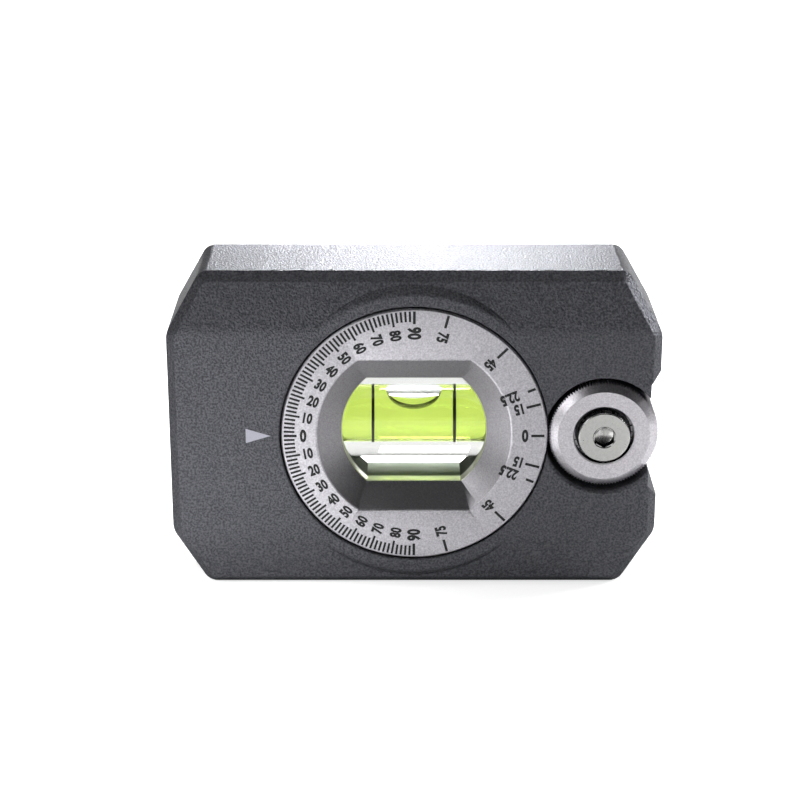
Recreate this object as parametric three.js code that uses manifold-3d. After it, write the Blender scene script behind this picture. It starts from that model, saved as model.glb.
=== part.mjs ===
// Magnetic angle level: a chunky aluminium block with a turning dial that carries a spirit vial.
// A knurled thumbwheel at the right drives the dial through a fine toothed ring behind its face.
// Lengths are millimetres. X runs along the block, Y from its front to its back and Z up.
// The base rests on Z = 0, and the dial turns about an axis along Y at the middle of the block.
import * as THREE from "three";
import { ConvexGeometry } from "three/addons/geometries/ConvexGeometry.js";
import { mergeVertices } from "three/addons/utils/BufferGeometryUtils.js";
import Module from "manifold-3d";

// Block
const blockLength = 100;
const blockDepth = 27;
const cornerRun = 7;
const cornerRise = 12.5;
const topCornerRadius = 2.8;
const sideCornerRadius = 4.5;
const slantDrop = 2;
const slantRun = 11.8;
const bevelWidth = 1.7;
const bevelDepth = 1.8;
const bossWall = 0.7;
const bossSlope = 2.4;
const bossToEdge = 3.9;

// Toothed drive between the thumbwheel and the dial
const toothModule = 0.2;
const ringTeeth = 276;
const wheelTeeth = 111;
const toothHeight = 0.36;
const meshGap = 0.1;
const toothRoom = 0.35;
const ringWall = 2.5;

// Dial
const lipThickness = 2.5;
const dialGap = 0.3;
const dialRimChamfer = 0.35;
const throatRadius = 14.8;
const rearThroatStep = 1.8;
const throatSlit = 2.2;
const funnelDepth = 3.7;
const funnelFlare = 5.15;

// Dial bearing behind the teeth
const pocketWeb = 1.5;
const spigotInset = 0.55;
const bearingStep = 1.32;
const bearingGap = 0.3;
const flangeThickness = 2;
const glideThickness = 1;
const glidePlay = 0.1;
const lockRingWidth = 4.3;
const lockRingChamfer = 0.5;
const spannerHoleRadius = 1.1;
const spannerHoleDepth = 2.2;
const spannerHoles = 4;
const frictionRingSection = 0.85;

// Screws that join the two halves of the dial
const dialScrews = 4;
const dialScrewSpread = Math.PI / 10;
const dialScrewRadius = 1.5;
const dialScrewReach = 6;
const dialScrewHeadStep = 1.1;
const dialScrewHeadHeight = 2;
const dialScrewHeadRecess = 6.5;
const dialScrewKeyWall = 0.25;
const screwHoleGap = 0.15;

// Vial
const barrelRadius = 9;
const barrelSeat = 5.2;
const barrelChamfer = 0.5;
const boreRadius = 4;
const boreSwell = 0.1;
const liquidGap = 0.05;
const vialCapLength = 3;
const readingRingSpacing = 17;
const readingRingWidth = 0.45;
const readingRingWall = 0.3;
const bubbleLength = 11.5;
const bubbleWidth = 5.6;
const bubbleHeight = 3.6;
const cushionThickness = 0.3;
const cushionWidth = 3;
const cushionInset = 0.3;

// Thumbwheel
const wheelConeWidth = 1.83;
const wheelConeDepth = 1.2;
const wheelLength = 14.1;
const pocketGap = 0.9;
const pocketLip = 0.8;
const counterboreDepth = 2.6;
const washerRoom = 0.9;
const washerThickness = 0.3;
const washerWave = 0.2;
const washerWaves = 3;
const washerWidth = 2.8;

// Thumbwheel bearing
const threadRadius = 3;
const shoulderStep = 1;
const screwHeadStep = 1.25;
const screwHeadProud = 1;
const screwHeadChamfer = 0.3;
const screwHeadRoom = 0.85;
const keyAcrossFlats = 4;
const keyDepth = 2;
const keyLeadIn = 0.35;
const bushWall = 0.9;
const bushFlangeInset = 0.4;
const bushFlangeThickness = 0.6;
const insertWall = 1.5;
const insertBackWall = 2.4;
const threadInset = 0.4;

// Thumb notch in the right side
const notchDepth = 2;
const notchFlare = 2.5;
const notchFloorHalf = 11;

// Base magnets
const magnetRadius = 5;
const magnetThickness = 4;
const magnetInset = 7.5;
const magnetPitch = 14.5;

// Fits shared by several pieces
const runningGap = 0.05;
const seatGap = 0.1;
const cutOverrun = 1;
const weldTolerance = 1e-4;

// Fineness of round forms, in steps, and the sides of a hexagon key
const largeSteps = 56;
const mediumSteps = 28;
const smallSteps = 16;
const cornerSteps = 4;
const sectionSteps = 6;
const boreSteps = 4;
const keySides = 6;

// Drive and dial, measured from the dial's centre
const halfLength = blockLength / 2;
const halfDepth = blockDepth / 2;
const ringMeanRadius = (toothModule * ringTeeth - meshGap) / 2;
const wheelMeanRadius = (toothModule * wheelTeeth - meshGap) / 2;
const wheelPlace = (toothModule * (ringTeeth + wheelTeeth)) / 2;
const ringTipRadius = ringMeanRadius + toothHeight / 2;
const ringBoreRadius = ringMeanRadius - toothHeight / 2 - ringWall;
const wheelTipRadius = wheelMeanRadius + toothHeight / 2;
const dialRadius = wheelPlace - wheelTipRadius - dialGap;
const lipRadius = dialRadius + dialGap;
const lipBack = -halfDepth + lipThickness;
const toothSpaceRadius = ringTipRadius + toothRoom;
const faceHubRadius = ringBoreRadius - seatGap;

// Window and vial
const windowRadius = throatRadius + funnelFlare;
const rearThroatRadius = throatRadius + rearThroatStep;
const throatFlat = barrelRadius + throatSlit;
const windowFlat = throatFlat + funnelFlare;
const barrelLength = 2 * (throatRadius + barrelSeat);
const cradleRadius = barrelRadius + cushionThickness + 2 * seatGap;
const cradleHalf = barrelLength / 2 + seatGap;

// Thumbwheel
const shoulderRadius = threadRadius + shoulderStep;
const screwHeadRadius = shoulderRadius + screwHeadStep;
const wheelFaceRadius = wheelTipRadius - wheelConeWidth;
const wheelBack = -halfDepth + wheelLength;
const pocketFloor = wheelBack + washerRoom;
const pocketRadius = wheelTipRadius + pocketGap;
const counterboreRadius = screwHeadRadius + screwHeadRoom;
const counterboreFloor = -halfDepth + counterboreDepth;
const bushFlangeRadius = counterboreRadius - bushFlangeInset;
const bushFlangeFace = counterboreFloor - runningGap - bushFlangeThickness;
const bushBoreRadius = shoulderRadius + runningGap;
const bushOuterRadius = bushBoreRadius + bushWall;
const screwHeadSeat = bushFlangeFace - seatGap;
const insertRadius = threadRadius + insertWall;
const insertFace = pocketFloor + seatGap;
const insertEnd = halfDepth - insertBackWall;

// Bearing of the dial
const stepFace = pocketFloor + pocketWeb;
const bearingRadius = toothSpaceRadius + bearingStep;
const flangeRadius = bearingRadius - bearingGap;
const spigotRadius = ringMeanRadius - spigotInset;
const backHubRadius = flangeRadius - lockRingWidth - bearingGap;
const glideOuterRadius = bearingRadius - 2 * seatGap;
const frontGlideFace = stepFace + runningGap;
const flangeFace = frontGlideFace + glideThickness + glidePlay;
const rearGlideFace = flangeFace + flangeThickness + glidePlay;
const lockRingFace = rearGlideFace + glideThickness + glidePlay;
const lockRingInnerRadius = backHubRadius + bearingGap;
const frictionRingPlace = (lockRingFace + halfDepth) / 2;
const frictionRingRadius = lockRingInnerRadius - seatGap - frictionRingSection;
const dialScrewCircle = (windowFlat + backHubRadius) / (1 + Math.cos(dialScrewSpread));
const dialScrewHeadRadius = dialScrewRadius + dialScrewHeadStep;
const dialScrewKey = dialScrewRadius - dialScrewKeyWall;

// Outside of the block
const bossRadius = bearingRadius + bossWall;
const halfHeight = bossRadius + bossToEdge;
const flatBandHalf = halfHeight - slantRun;
const notchMouthHalf = notchFloorHalf + notchFlare;
const magnetOuterPlace = halfLength - cornerRun - magnetInset;
const magnetInnerPlace = magnetOuterPlace - magnetPitch;

const wasm = await Module();
wasm.setup();

// Solids from geometries, and back

function solidFrom(geometry) {
  const bare = geometry.index ? geometry.toNonIndexed() : geometry.clone();
  bare.deleteAttribute("normal");
  bare.deleteAttribute("uv");
  const merged = mergeVertices(bare, weldTolerance);
  return new wasm.Manifold(
    new wasm.Mesh({
      numProp: 3,
      vertProperties: merged.attributes.position.array,
      triVerts: new Uint32Array(merged.index.array),
    }),
  );
}

function geometryFrom(solid) {
  const mesh = solid.getMesh();
  const geometry = new THREE.BufferGeometry();
  geometry.setAttribute("position", new THREE.BufferAttribute(new Float32Array(mesh.vertProperties), 3));
  geometry.setIndex(new THREE.BufferAttribute(new Uint32Array(mesh.triVerts), 1));
  const faceted = geometry.toNonIndexed();
  faceted.computeVertexNormals();
  return faceted;
}

function cutAway(solid, ...cutters) {
  return cutters.reduce((left, cutter) => left.subtract(cutter), solid);
}

// A closed ring or disc about Y, from a profile of [radius, depth] points that runs
// outwards along the front, back along the outside and inwards along the rear.
function revolved(profile, steps) {
  const closed = [...profile, profile[0]];
  return new THREE.LatheGeometry(closed.map(([r, y]) => new THREE.Vector2(r, y)), steps);
}

// A plain cylinder about Y between two depths.
function rod(radius, front, back, steps) {
  return revolved([[0, front], [radius, front], [radius, back], [0, back]], steps);
}

// A flat washer or sleeve about Y between two depths.
function sleeve(innerRadius, outerRadius, front, back, steps) {
  return revolved([
    [innerRadius, front],
    [outerRadius, front],
    [outerRadius, back],
    [innerRadius, back],
  ], steps);
}

// An outline in X and Z, run from one depth to another, with its arcs cut into steps.
function prismAlongY(shape, front, back, steps) {
  const geometry = new THREE.ExtrudeGeometry(shape, {
    depth: back - front,
    bevelEnabled: false,
    curveSegments: steps / 2,
  });
  const turn = new THREE.Matrix4().makeBasis(
    new THREE.Vector3(1, 0, 0),
    new THREE.Vector3(0, 0, 1),
    new THREE.Vector3(0, -1, 0),
  );
  return geometry.applyMatrix4(turn).translate(0, back, 0);
}

// An outline in Y and Z, run along X to both sides of the middle.
function prismAlongX(shape, half) {
  const geometry = new THREE.ExtrudeGeometry(shape, { depth: 2 * half, bevelEnabled: false });
  const turn = new THREE.Matrix4().makeBasis(
    new THREE.Vector3(0, 1, 0),
    new THREE.Vector3(0, 0, 1),
    new THREE.Vector3(1, 0, 0),
  );
  return geometry.applyMatrix4(turn).translate(-half, 0, 0);
}

function polygon(points) {
  return new THREE.Shape(points.map(([x, y]) => new THREE.Vector2(x, y)));
}

// Turns a piece made about Y so that it lies about X.
function layAlongX(geometry) {
  return geometry.rotateZ(-Math.PI / 2);
}

// Block

// How far the face has fallen back from the flat band at a height above the dial's centre.
function faceDrop(height) {
  return (Math.max(0, height - flatBandHalf) * slantDrop) / slantRun;
}

// One quarter of the block's outline as [x, z, direction of the outward normal] rows:
// the rounded corner below the chamfer, the fold of the face, and the corner above the chamfer.
function quarterOutline() {
  const chamferLength = Math.hypot(cornerRun, cornerRise);
  const normalX = cornerRise / chamferLength;
  const normalZ = cornerRun / chamferLength;
  const reach = normalX * halfLength + normalZ * (halfHeight - cornerRise);
  const lean = Math.atan2(normalZ, normalX);
  const side = {
    x: halfLength - sideCornerRadius,
    z: (reach - sideCornerRadius - normalX * (halfLength - sideCornerRadius)) / normalZ,
  };
  const top = {
    x: (reach - topCornerRadius - normalZ * (halfHeight - topCornerRadius)) / normalX,
    z: halfHeight - topCornerRadius,
  };
  const rows = [];
  const addCorner = (centre, radius, from, to) => {
    for (let i = 0; i <= cornerSteps; i++) {
      const angle = from + ((to - from) * i) / cornerSteps;
      rows.push([centre.x + radius * Math.cos(angle), centre.z + radius * Math.sin(angle), angle]);
    }
  };
  addCorner(side, sideCornerRadius, 0, lean);
  const foldX = Math.min((reach - bevelWidth - normalZ * flatBandHalf) / normalX, halfLength - bevelWidth);
  rows.push([foldX + bevelWidth * normalX, flatBandHalf + bevelWidth * normalZ, lean]);
  addCorner(top, topCornerRadius, lean, Math.PI / 2);
  return rows;
}

// The block's convex outer form: flat band, slanted faces above and below it, bevelled edges.
function blockForm() {
  const points = [];
  for (const [x, z, angle] of quarterOutline()) {
    const innerX = x - bevelWidth * Math.cos(angle);
    const innerZ = z - bevelWidth * Math.sin(angle);
    const faceY = halfDepth - faceDrop(innerZ);
    for (const sideX of [-1, 1]) {
      for (const sideY of [-1, 1]) {
        for (const sideZ of [-1, 1]) {
          points.push(new THREE.Vector3(sideX * innerX, sideY * faceY, sideZ * innerZ));
          points.push(new THREE.Vector3(sideX * x, sideY * (faceY - bevelDepth), sideZ * z));
        }
      }
    }
  }
  return new ConvexGeometry(points);
}

// The raised ring round the dial, level with the flat band and sloping down outside.
function bossForm() {
  return revolved([
    [0, -halfDepth],
    [bossRadius, -halfDepth],
    [bossRadius + bossSlope, bossSlope - halfDepth],
    [bossRadius + bossSlope, halfDepth - bossSlope],
    [bossRadius, halfDepth],
    [0, halfDepth],
  ], largeSteps);
}

// The stepped bore: front lip, room for the drive teeth, and the bearing open to the rear.
function dialBore() {
  return revolved([
    [0, -halfDepth - cutOverrun],
    [lipRadius, -halfDepth - cutOverrun],
    [lipRadius, lipBack],
    [toothSpaceRadius, lipBack],
    [toothSpaceRadius, stepFace],
    [bearingRadius, stepFace],
    [bearingRadius, halfDepth + cutOverrun],
    [0, halfDepth + cutOverrun],
  ], largeSteps);
}

// The thumbwheel's pocket, with a broken edge in front and the blind hole for its insert.
function wheelPocket() {
  const holeRadius = insertRadius + seatGap;
  return revolved([
    [0, -halfDepth - cutOverrun],
    [pocketRadius + pocketLip + cutOverrun, -halfDepth - cutOverrun],
    [pocketRadius, pocketLip - halfDepth],
    [pocketRadius, pocketFloor],
    [holeRadius, pocketFloor],
    [holeRadius, insertEnd + seatGap],
    [0, insertEnd + seatGap],
  ], mediumSteps).translate(wheelPlace, 0, 0);
}

function thumbNotch() {
  const flare = ((notchMouthHalf - notchFloorHalf) * cutOverrun) / notchDepth;
  const outline = polygon([
    [halfLength - notchDepth, -notchFloorHalf],
    [halfLength + cutOverrun, -notchMouthHalf - flare],
    [halfLength + cutOverrun, notchMouthHalf + flare],
    [halfLength - notchDepth, notchFloorHalf],
  ]);
  return prismAlongY(outline, -halfDepth - cutOverrun, halfDepth + cutOverrun, smallSteps);
}

function magnetPlaces() {
  return [-magnetOuterPlace, -magnetInnerPlace, magnetInnerPlace, magnetOuterPlace];
}

function magnetPocket(x) {
  const depth = magnetThickness + seatGap + cutOverrun;
  const radius = magnetRadius + seatGap;
  return new THREE.CylinderGeometry(radius, radius, depth, smallSteps)
    .rotateX(Math.PI / 2)
    .translate(x, 0, depth / 2 - cutOverrun - halfHeight);
}

function block() {
  const form = solidFrom(blockForm()).add(solidFrom(bossForm()));
  const cutters = [dialBore(), wheelPocket(), thumbNotch(), ...magnetPlaces().map(magnetPocket)];
  return geometryFrom(cutAway(form, ...cutters.map(solidFrom)));
}

function magnet(x) {
  return new THREE.CylinderGeometry(magnetRadius, magnetRadius, magnetThickness, smallSteps)
    .rotateX(Math.PI / 2)
    .translate(x, 0, magnetThickness / 2 - halfHeight);
}

// Dial

// The see-through window: a funnel with two flats on each side and a throat between, which is wider
// at the rear so that its rim stays out of sight behind the vial.
function windowCutter() {
  const slope = (windowRadius - throatRadius) / funnelDepth;
  const rearSlope = (windowRadius - rearThroatRadius) / funnelDepth;
  const funnelEnd = halfDepth - funnelDepth;
  const mouth = halfDepth + cutOverrun;
  const mouthRadius = windowRadius + slope * cutOverrun;
  const flatSlope = (windowFlat - throatFlat) / funnelDepth;
  const mouthFlat = windowFlat + flatSlope * cutOverrun;
  const round = revolved([
    [0, -mouth],
    [mouthRadius, -mouth],
    [throatRadius, -funnelEnd],
    [throatRadius, 0],
    [rearThroatRadius, 0],
    [rearThroatRadius, funnelEnd],
    [windowRadius + rearSlope * cutOverrun, mouth],
    [0, mouth],
  ], largeSteps);
  const flats = polygon([
    [-mouth, -mouthFlat],
    [-funnelEnd, -throatFlat],
    [funnelEnd, -throatFlat],
    [mouth, -mouthFlat],
    [mouth, mouthFlat],
    [funnelEnd, throatFlat],
    [-funnelEnd, throatFlat],
    [-mouth, mouthFlat],
  ]);
  return solidFrom(round).intersect(solidFrom(prismAlongX(flats, mouthRadius)));
}

// The trough along X that both halves of the dial share, for the vial and its cushions.
function vialCradle() {
  return solidFrom(layAlongX(rod(cradleRadius, -cradleHalf, cradleHalf, mediumSteps)));
}

// Two screws above the window and two below it.
function dialScrewPlaces() {
  return Array.from({ length: dialScrews }, (_, i) => {
    const end = i < dialScrews / 2 ? 1 : -1;
    const angle = (i % 2 ? -1 : 1) * dialScrewSpread;
    return [dialScrewCircle * Math.sin(angle), end * dialScrewCircle * Math.cos(angle)];
  });
}

function dialFace() {
  const form = solidFrom(revolved([
    [0, -halfDepth],
    [dialRadius - dialRimChamfer, -halfDepth],
    [dialRadius, dialRimChamfer - halfDepth],
    [dialRadius, lipBack],
    [faceHubRadius, lipBack],
    [faceHubRadius, -seatGap],
    [0, -seatGap],
  ], largeSteps));
  const screwHoles = dialScrewPlaces().map(([x, z]) =>
    solidFrom(rod(
      dialScrewRadius + screwHoleGap,
      -dialScrewReach - seatGap,
      cutOverrun,
      smallSteps,
    ).translate(x, 0, z)),
  );
  return geometryFrom(cutAway(form, windowCutter(), vialCradle(), ...screwHoles));
}

function dialBack() {
  const grooveRadius = frictionRingRadius - frictionRingSection - 2 * seatGap;
  const grooveHalf = frictionRingSection + seatGap;
  const form = solidFrom(revolved([
    [0, seatGap],
    [spigotRadius, seatGap],
    [spigotRadius, flangeFace],
    [flangeRadius, flangeFace],
    [flangeRadius, flangeFace + flangeThickness],
    [backHubRadius, flangeFace + flangeThickness],
    [backHubRadius, frictionRingPlace - grooveHalf],
    [grooveRadius, frictionRingPlace - grooveHalf],
    [grooveRadius, frictionRingPlace + grooveHalf],
    [backHubRadius, frictionRingPlace + grooveHalf],
    [backHubRadius, halfDepth - dialRimChamfer],
    [backHubRadius - dialRimChamfer, halfDepth],
    [0, halfDepth],
  ], largeSteps));
  const shankRadius = dialScrewRadius + screwHoleGap;
  const headRadius = dialScrewHeadRadius + screwHoleGap;
  const screwHoles = dialScrewPlaces().map(([x, z]) =>
    solidFrom(revolved([
      [0, -cutOverrun],
      [shankRadius, -cutOverrun],
      [shankRadius, dialScrewHeadRecess],
      [headRadius, dialScrewHeadRecess],
      [headRadius, halfDepth + cutOverrun],
      [0, halfDepth + cutOverrun],
    ], smallSteps).translate(x, 0, z)),
  );
  return geometryFrom(cutAway(form, windowCutter(), vialCradle(), ...screwHoles));
}

// Socket-head screw that enters from the rear.
function dialScrew([x, z]) {
  const headSeat = dialScrewHeadRecess + seatGap;
  const headEnd = headSeat + dialScrewHeadHeight;
  const form = solidFrom(revolved([
    [0, -dialScrewReach],
    [dialScrewRadius, -dialScrewReach],
    [dialScrewRadius, headSeat],
    [dialScrewHeadRadius, headSeat],
    [dialScrewHeadRadius, headEnd],
    [0, headEnd],
  ], smallSteps));
  const socket = new THREE.CylinderGeometry(dialScrewKey, dialScrewKey, dialScrewHeadHeight, keySides)
    .translate(0, headEnd, 0);
  return geometryFrom(form.subtract(solidFrom(socket))).translate(x, 0, z);
}

// Fine V teeth round an outline, with the first tip at the start angle.
function toothedOutline(teeth, meanRadius, start) {
  const points = [];
  for (let i = 0; i < 2 * teeth; i++) {
    const radius = meanRadius + ((i % 2 ? -1 : 1) * toothHeight) / 2;
    const angle = start + (Math.PI * i) / teeth;
    points.push([radius * Math.cos(angle), radius * Math.sin(angle)]);
  }
  return polygon(points);
}

// The toothed ring clamped between the two halves of the dial.
function driveRing() {
  const outline = toothedOutline(ringTeeth, ringMeanRadius, 0);
  const bore = new THREE.Path();
  bore.absarc(0, 0, ringBoreRadius, 0, 2 * Math.PI, true);
  outline.holes.push(bore);
  return prismAlongY(outline, lipBack + seatGap, 0, largeSteps);
}

function frictionRing() {
  const circle = Array.from({ length: sectionSteps }, (_, i) => {
    const angle = (2 * Math.PI * i) / sectionSteps;
    return [
      frictionRingRadius + frictionRingSection * Math.cos(angle),
      frictionRingPlace + frictionRingSection * Math.sin(angle),
    ];
  });
  return revolved(circle, mediumSteps);
}

function frontGlideRing() {
  return sleeve(
    spigotRadius + 2 * seatGap,
    glideOuterRadius,
    frontGlideFace,
    frontGlideFace + glideThickness,
    mediumSteps,
  );
}

function rearGlideRing() {
  return sleeve(
    backHubRadius + 2 * seatGap,
    glideOuterRadius,
    rearGlideFace,
    rearGlideFace + glideThickness,
    mediumSteps,
  );
}

// The screwed ring that closes the bearing at the rear, with holes for a pin spanner.
function rearLockRing() {
  const outerRadius = bearingRadius - seatGap;
  const form = solidFrom(revolved([
    [lockRingInnerRadius, lockRingFace],
    [outerRadius, lockRingFace],
    [outerRadius, halfDepth],
    [lockRingInnerRadius + lockRingChamfer, halfDepth],
    [lockRingInnerRadius, halfDepth - lockRingChamfer],
  ], largeSteps));
  const holeCircle = (lockRingInnerRadius + outerRadius) / 2;
  const holes = Array.from({ length: spannerHoles }, (_, i) => {
    const angle = (2 * Math.PI * (i + 1 / 2)) / spannerHoles;
    const hole = rod(spannerHoleRadius, halfDepth - spannerHoleDepth, halfDepth + cutOverrun, smallSteps);
    return solidFrom(hole.translate(holeCircle * Math.cos(angle), 0, holeCircle * Math.sin(angle)));
  });
  return geometryFrom(cutAway(form, ...holes));
}

// Vial

// Radius of the bore, which swells slightly towards its middle so that the bubble centres.
function boreRadiusAt(x) {
  const share = (2 * x) / barrelLength;
  return boreRadius + boreSwell * (1 - share * share);
}

// Bore radii from one end to the other, less a gap, as [radius, place along X] rows.
function borePoints(from, to, gap) {
  return Array.from({ length: boreSteps + 1 }, (_, i) => {
    const x = from + ((to - from) * i) / boreSteps;
    return [boreRadiusAt(x) - gap, x];
  });
}

function vialBarrel() {
  const half = barrelLength / 2;
  return layAlongX(revolved([
    [barrelRadius - barrelChamfer, -half],
    [barrelRadius, barrelChamfer - half],
    [barrelRadius, half - barrelChamfer],
    [barrelRadius - barrelChamfer, half],
    ...borePoints(half, -half, 0),
  ], mediumSteps));
}

function vialCap(side) {
  const cap = rod(boreRadius - liquidGap, -vialCapLength / 2, vialCapLength / 2, smallSteps);
  return layAlongX(cap).translate((side * (barrelLength - vialCapLength)) / 2, 0, 0);
}

function readingRing(side) {
  const outerRadius = boreRadius - liquidGap;
  const half = readingRingWidth / 2;
  const ring = sleeve(outerRadius - readingRingWall, outerRadius, -half, half, smallSteps);
  return layAlongX(ring).translate((side * readingRingSpacing) / 2, 0, 0);
}

// The coloured spirit, which leaves room for the two reading rings and for the bubble on top.
function spirit() {
  const half = barrelLength / 2 - vialCapLength - seatGap;
  const form = solidFrom(layAlongX(revolved([
    [0, -half],
    ...borePoints(-half, half, liquidGap),
    [0, half],
  ], mediumSteps)));
  const grooveHalf = readingRingWidth / 2 + liquidGap;
  const grooveFloor = boreRadius - 2 * liquidGap - readingRingWall;
  const grooves = [-1, 1].map((side) =>
    solidFrom(layAlongX(sleeve(
      grooveFloor,
      boreRadius + cutOverrun,
      -grooveHalf,
      grooveHalf,
      smallSteps,
    )).translate((side * readingRingSpacing) / 2, 0, 0)),
  );
  const bubble = new THREE.SphereGeometry(1, smallSteps, sectionSteps)
    .scale(bubbleLength / 2, bubbleWidth / 2, bubbleHeight / 2)
    .translate(0, 0, boreRadius);
  return geometryFrom(cutAway(form, ...grooves, solidFrom(bubble)));
}

// Rubber band that beds one end of the barrel in its cradle.
function vialCushion(side) {
  const half = cushionWidth / 2;
  const innerRadius = barrelRadius + seatGap;
  const band = sleeve(innerRadius, innerRadius + cushionThickness, -half, half, mediumSteps);
  return layAlongX(band).translate(side * (barrelLength / 2 - cushionInset - half), 0, 0);
}

// Thumbwheel, made about its own axis

function thumbWheel() {
  const start = Math.PI + Math.PI / wheelTeeth;
  const outline = toothedOutline(wheelTeeth, wheelMeanRadius, start);
  const knurl = prismAlongY(outline, -halfDepth, wheelBack, smallSteps);
  const envelope = revolved([
    [counterboreRadius, -halfDepth - cutOverrun],
    [wheelFaceRadius, -halfDepth - cutOverrun],
    [wheelFaceRadius, -halfDepth],
    [wheelTipRadius, wheelConeDepth - halfDepth],
    [wheelTipRadius + cutOverrun, wheelConeDepth - halfDepth],
    [wheelTipRadius + cutOverrun, wheelBack + cutOverrun],
    [bushOuterRadius + runningGap, wheelBack + cutOverrun],
    [bushOuterRadius + runningGap, counterboreFloor],
    [counterboreRadius, counterboreFloor],
  ], mediumSteps);
  return geometryFrom(solidFrom(knurl).intersect(solidFrom(envelope)));
}

// Flanged bush in the wheel, whose flange shows as a thin ring round the screw head.
function wheelBush() {
  return revolved([
    [bushBoreRadius, bushFlangeFace],
    [bushFlangeRadius, bushFlangeFace],
    [bushFlangeRadius, bushFlangeFace + bushFlangeThickness],
    [bushOuterRadius, bushFlangeFace + bushFlangeThickness],
    [bushOuterRadius, wheelBack - seatGap],
    [bushBoreRadius, wheelBack - seatGap],
  ], mediumSteps);
}

// Shoulder screw with a flat socket head, on which the wheel turns.
function wheelScrew() {
  const headFront = -halfDepth - screwHeadProud;
  const form = solidFrom(revolved([
    [0, headFront],
    [screwHeadRadius - screwHeadChamfer, headFront],
    [screwHeadRadius, headFront + screwHeadChamfer],
    [screwHeadRadius, screwHeadSeat],
    [shoulderRadius, screwHeadSeat],
    [shoulderRadius, pocketFloor],
    [threadRadius, pocketFloor],
    [threadRadius, insertEnd - threadInset],
    [0, insertEnd - threadInset],
  ], mediumSteps));
  const keyRadius = keyAcrossFlats / 2 / Math.cos(Math.PI / keySides);
  const socket = new THREE.CylinderGeometry(keyRadius, keyRadius, 2 * keyDepth, keySides)
    .translate(0, headFront, 0);
  const leadIn = revolved([
    [0, headFront - cutOverrun],
    [keyRadius + keyLeadIn + cutOverrun, headFront - cutOverrun],
    [keyRadius - keyLeadIn, headFront + 2 * keyLeadIn],
    [0, headFront + 2 * keyLeadIn],
  ], smallSteps);
  return geometryFrom(cutAway(form, solidFrom(socket), solidFrom(leadIn)));
}

function wheelInsert() {
  return sleeve(threadRadius + runningGap, insertRadius, insertFace, insertEnd, mediumSteps);
}

// Spring washer bent into even waves, which presses the wheel against the screw head.
function waveWasher() {
  const shape = new THREE.Shape();
  const innerRadius = shoulderRadius + 2 * seatGap;
  shape.absarc(0, 0, innerRadius + washerWidth, 0, 2 * Math.PI, false);
  const hole = new THREE.Path();
  hole.absarc(0, 0, innerRadius, 0, 2 * Math.PI, true);
  shape.holes.push(hole);
  const middle = (wheelBack + pocketFloor) / 2;
  const geometry = prismAlongY(
    shape,
    middle - washerThickness / 2,
    middle + washerThickness / 2,
    mediumSteps,
  );
  const places = geometry.attributes.position;
  for (let i = 0; i < places.count; i++) {
    const turn = Math.atan2(places.getZ(i), places.getX(i));
    places.setY(i, places.getY(i) + washerWave * Math.sin(washerWaves * turn));
  }
  return geometry;
}

// Finishes

const finishes = {
  blockPaint: { color: 0x48484b, roughness: 0.62, metalness: 0.35 },
  satinAluminium: { color: 0xafacb2, roughness: 0.42, metalness: 0.85 },
  stainless: { color: 0xacaca5, roughness: 0.3, metalness: 1 },
  magnetSteel: { color: 0xb9bbbd, roughness: 0.3, metalness: 1 },
  whitePlastic: { color: 0xe4e2da, roughness: 0.5, metalness: 0 },
  blackRubber: { color: 0x161617, roughness: 0.8, metalness: 0 },
  blackAnodised: { color: 0x1f1f21, roughness: 0.45, metalness: 0.6 },
  clearAcrylic: { color: 0xf4fbf4, roughness: 0.04, metalness: 0, transparent: true, opacity: 0.3 },
  greenSpirit: { color: 0xd8f23a, roughness: 0.05, metalness: 0, transparent: true, opacity: 0.75 },
  blackInk: { color: 0x0c0c0c, roughness: 0.6, metalness: 0 },
};

function piece(name, geometry, finish) {
  const mesh = new THREE.Mesh(geometry, new THREE.MeshStandardMaterial(finishes[finish]));
  mesh.name = name;
  return mesh;
}

// Assembly

function fixedPieces() {
  const group = new THREE.Group();
  group.add(piece("body", block(), "blockPaint"));
  magnetPlaces().forEach((x, i) => group.add(piece(`base_magnet_${i + 1}`, magnet(x), "magnetSteel")));
  group.add(piece("front_glide_ring", frontGlideRing(), "whitePlastic"));
  group.add(piece("rear_glide_ring", rearGlideRing(), "whitePlastic"));
  group.add(piece("rear_lock_ring", rearLockRing(), "blackAnodised"));
  return group;
}

function vialPieces() {
  const group = new THREE.Group();
  group.add(piece("vial_barrel", vialBarrel(), "clearAcrylic"));
  group.add(piece("spirit", spirit(), "greenSpirit"));
  for (const [word, side] of [["left", -1], ["right", 1]]) {
    group.add(piece(`vial_cap_${word}`, vialCap(side), "whitePlastic"));
    group.add(piece(`reading_ring_${word}`, readingRing(side), "blackInk"));
    group.add(piece(`vial_cushion_${word}`, vialCushion(side), "blackRubber"));
  }
  return group;
}

function dialPieces() {
  const group = new THREE.Group();
  group.add(piece("dial_face", dialFace(), "satinAluminium"));
  group.add(piece("drive_ring", driveRing(), "blackAnodised"));
  group.add(piece("dial_back", dialBack(), "satinAluminium"));
  group.add(piece("friction_ring", frictionRing(), "blackRubber"));
  dialScrewPlaces().forEach((place, i) => {
    group.add(piece(`dial_screw_${i + 1}`, dialScrew(place), "stainless"));
  });
  group.add(vialPieces());
  return group;
}

function wheelPieces() {
  const group = new THREE.Group();
  group.add(piece("thumb_wheel", thumbWheel(), "satinAluminium"));
  group.add(piece("wheel_bush", wheelBush(), "stainless"));
  group.add(piece("wheel_screw", wheelScrew(), "stainless"));
  group.add(piece("wheel_insert", wheelInsert(), "stainless"));
  group.add(piece("wave_washer", waveWasher(), "stainless"));
  group.position.x = wheelPlace;
  return group;
}

const level = new THREE.Group();
level.add(fixedPieces(), dialPieces(), wheelPieces());
level.position.z = halfHeight;

export default level;
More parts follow.
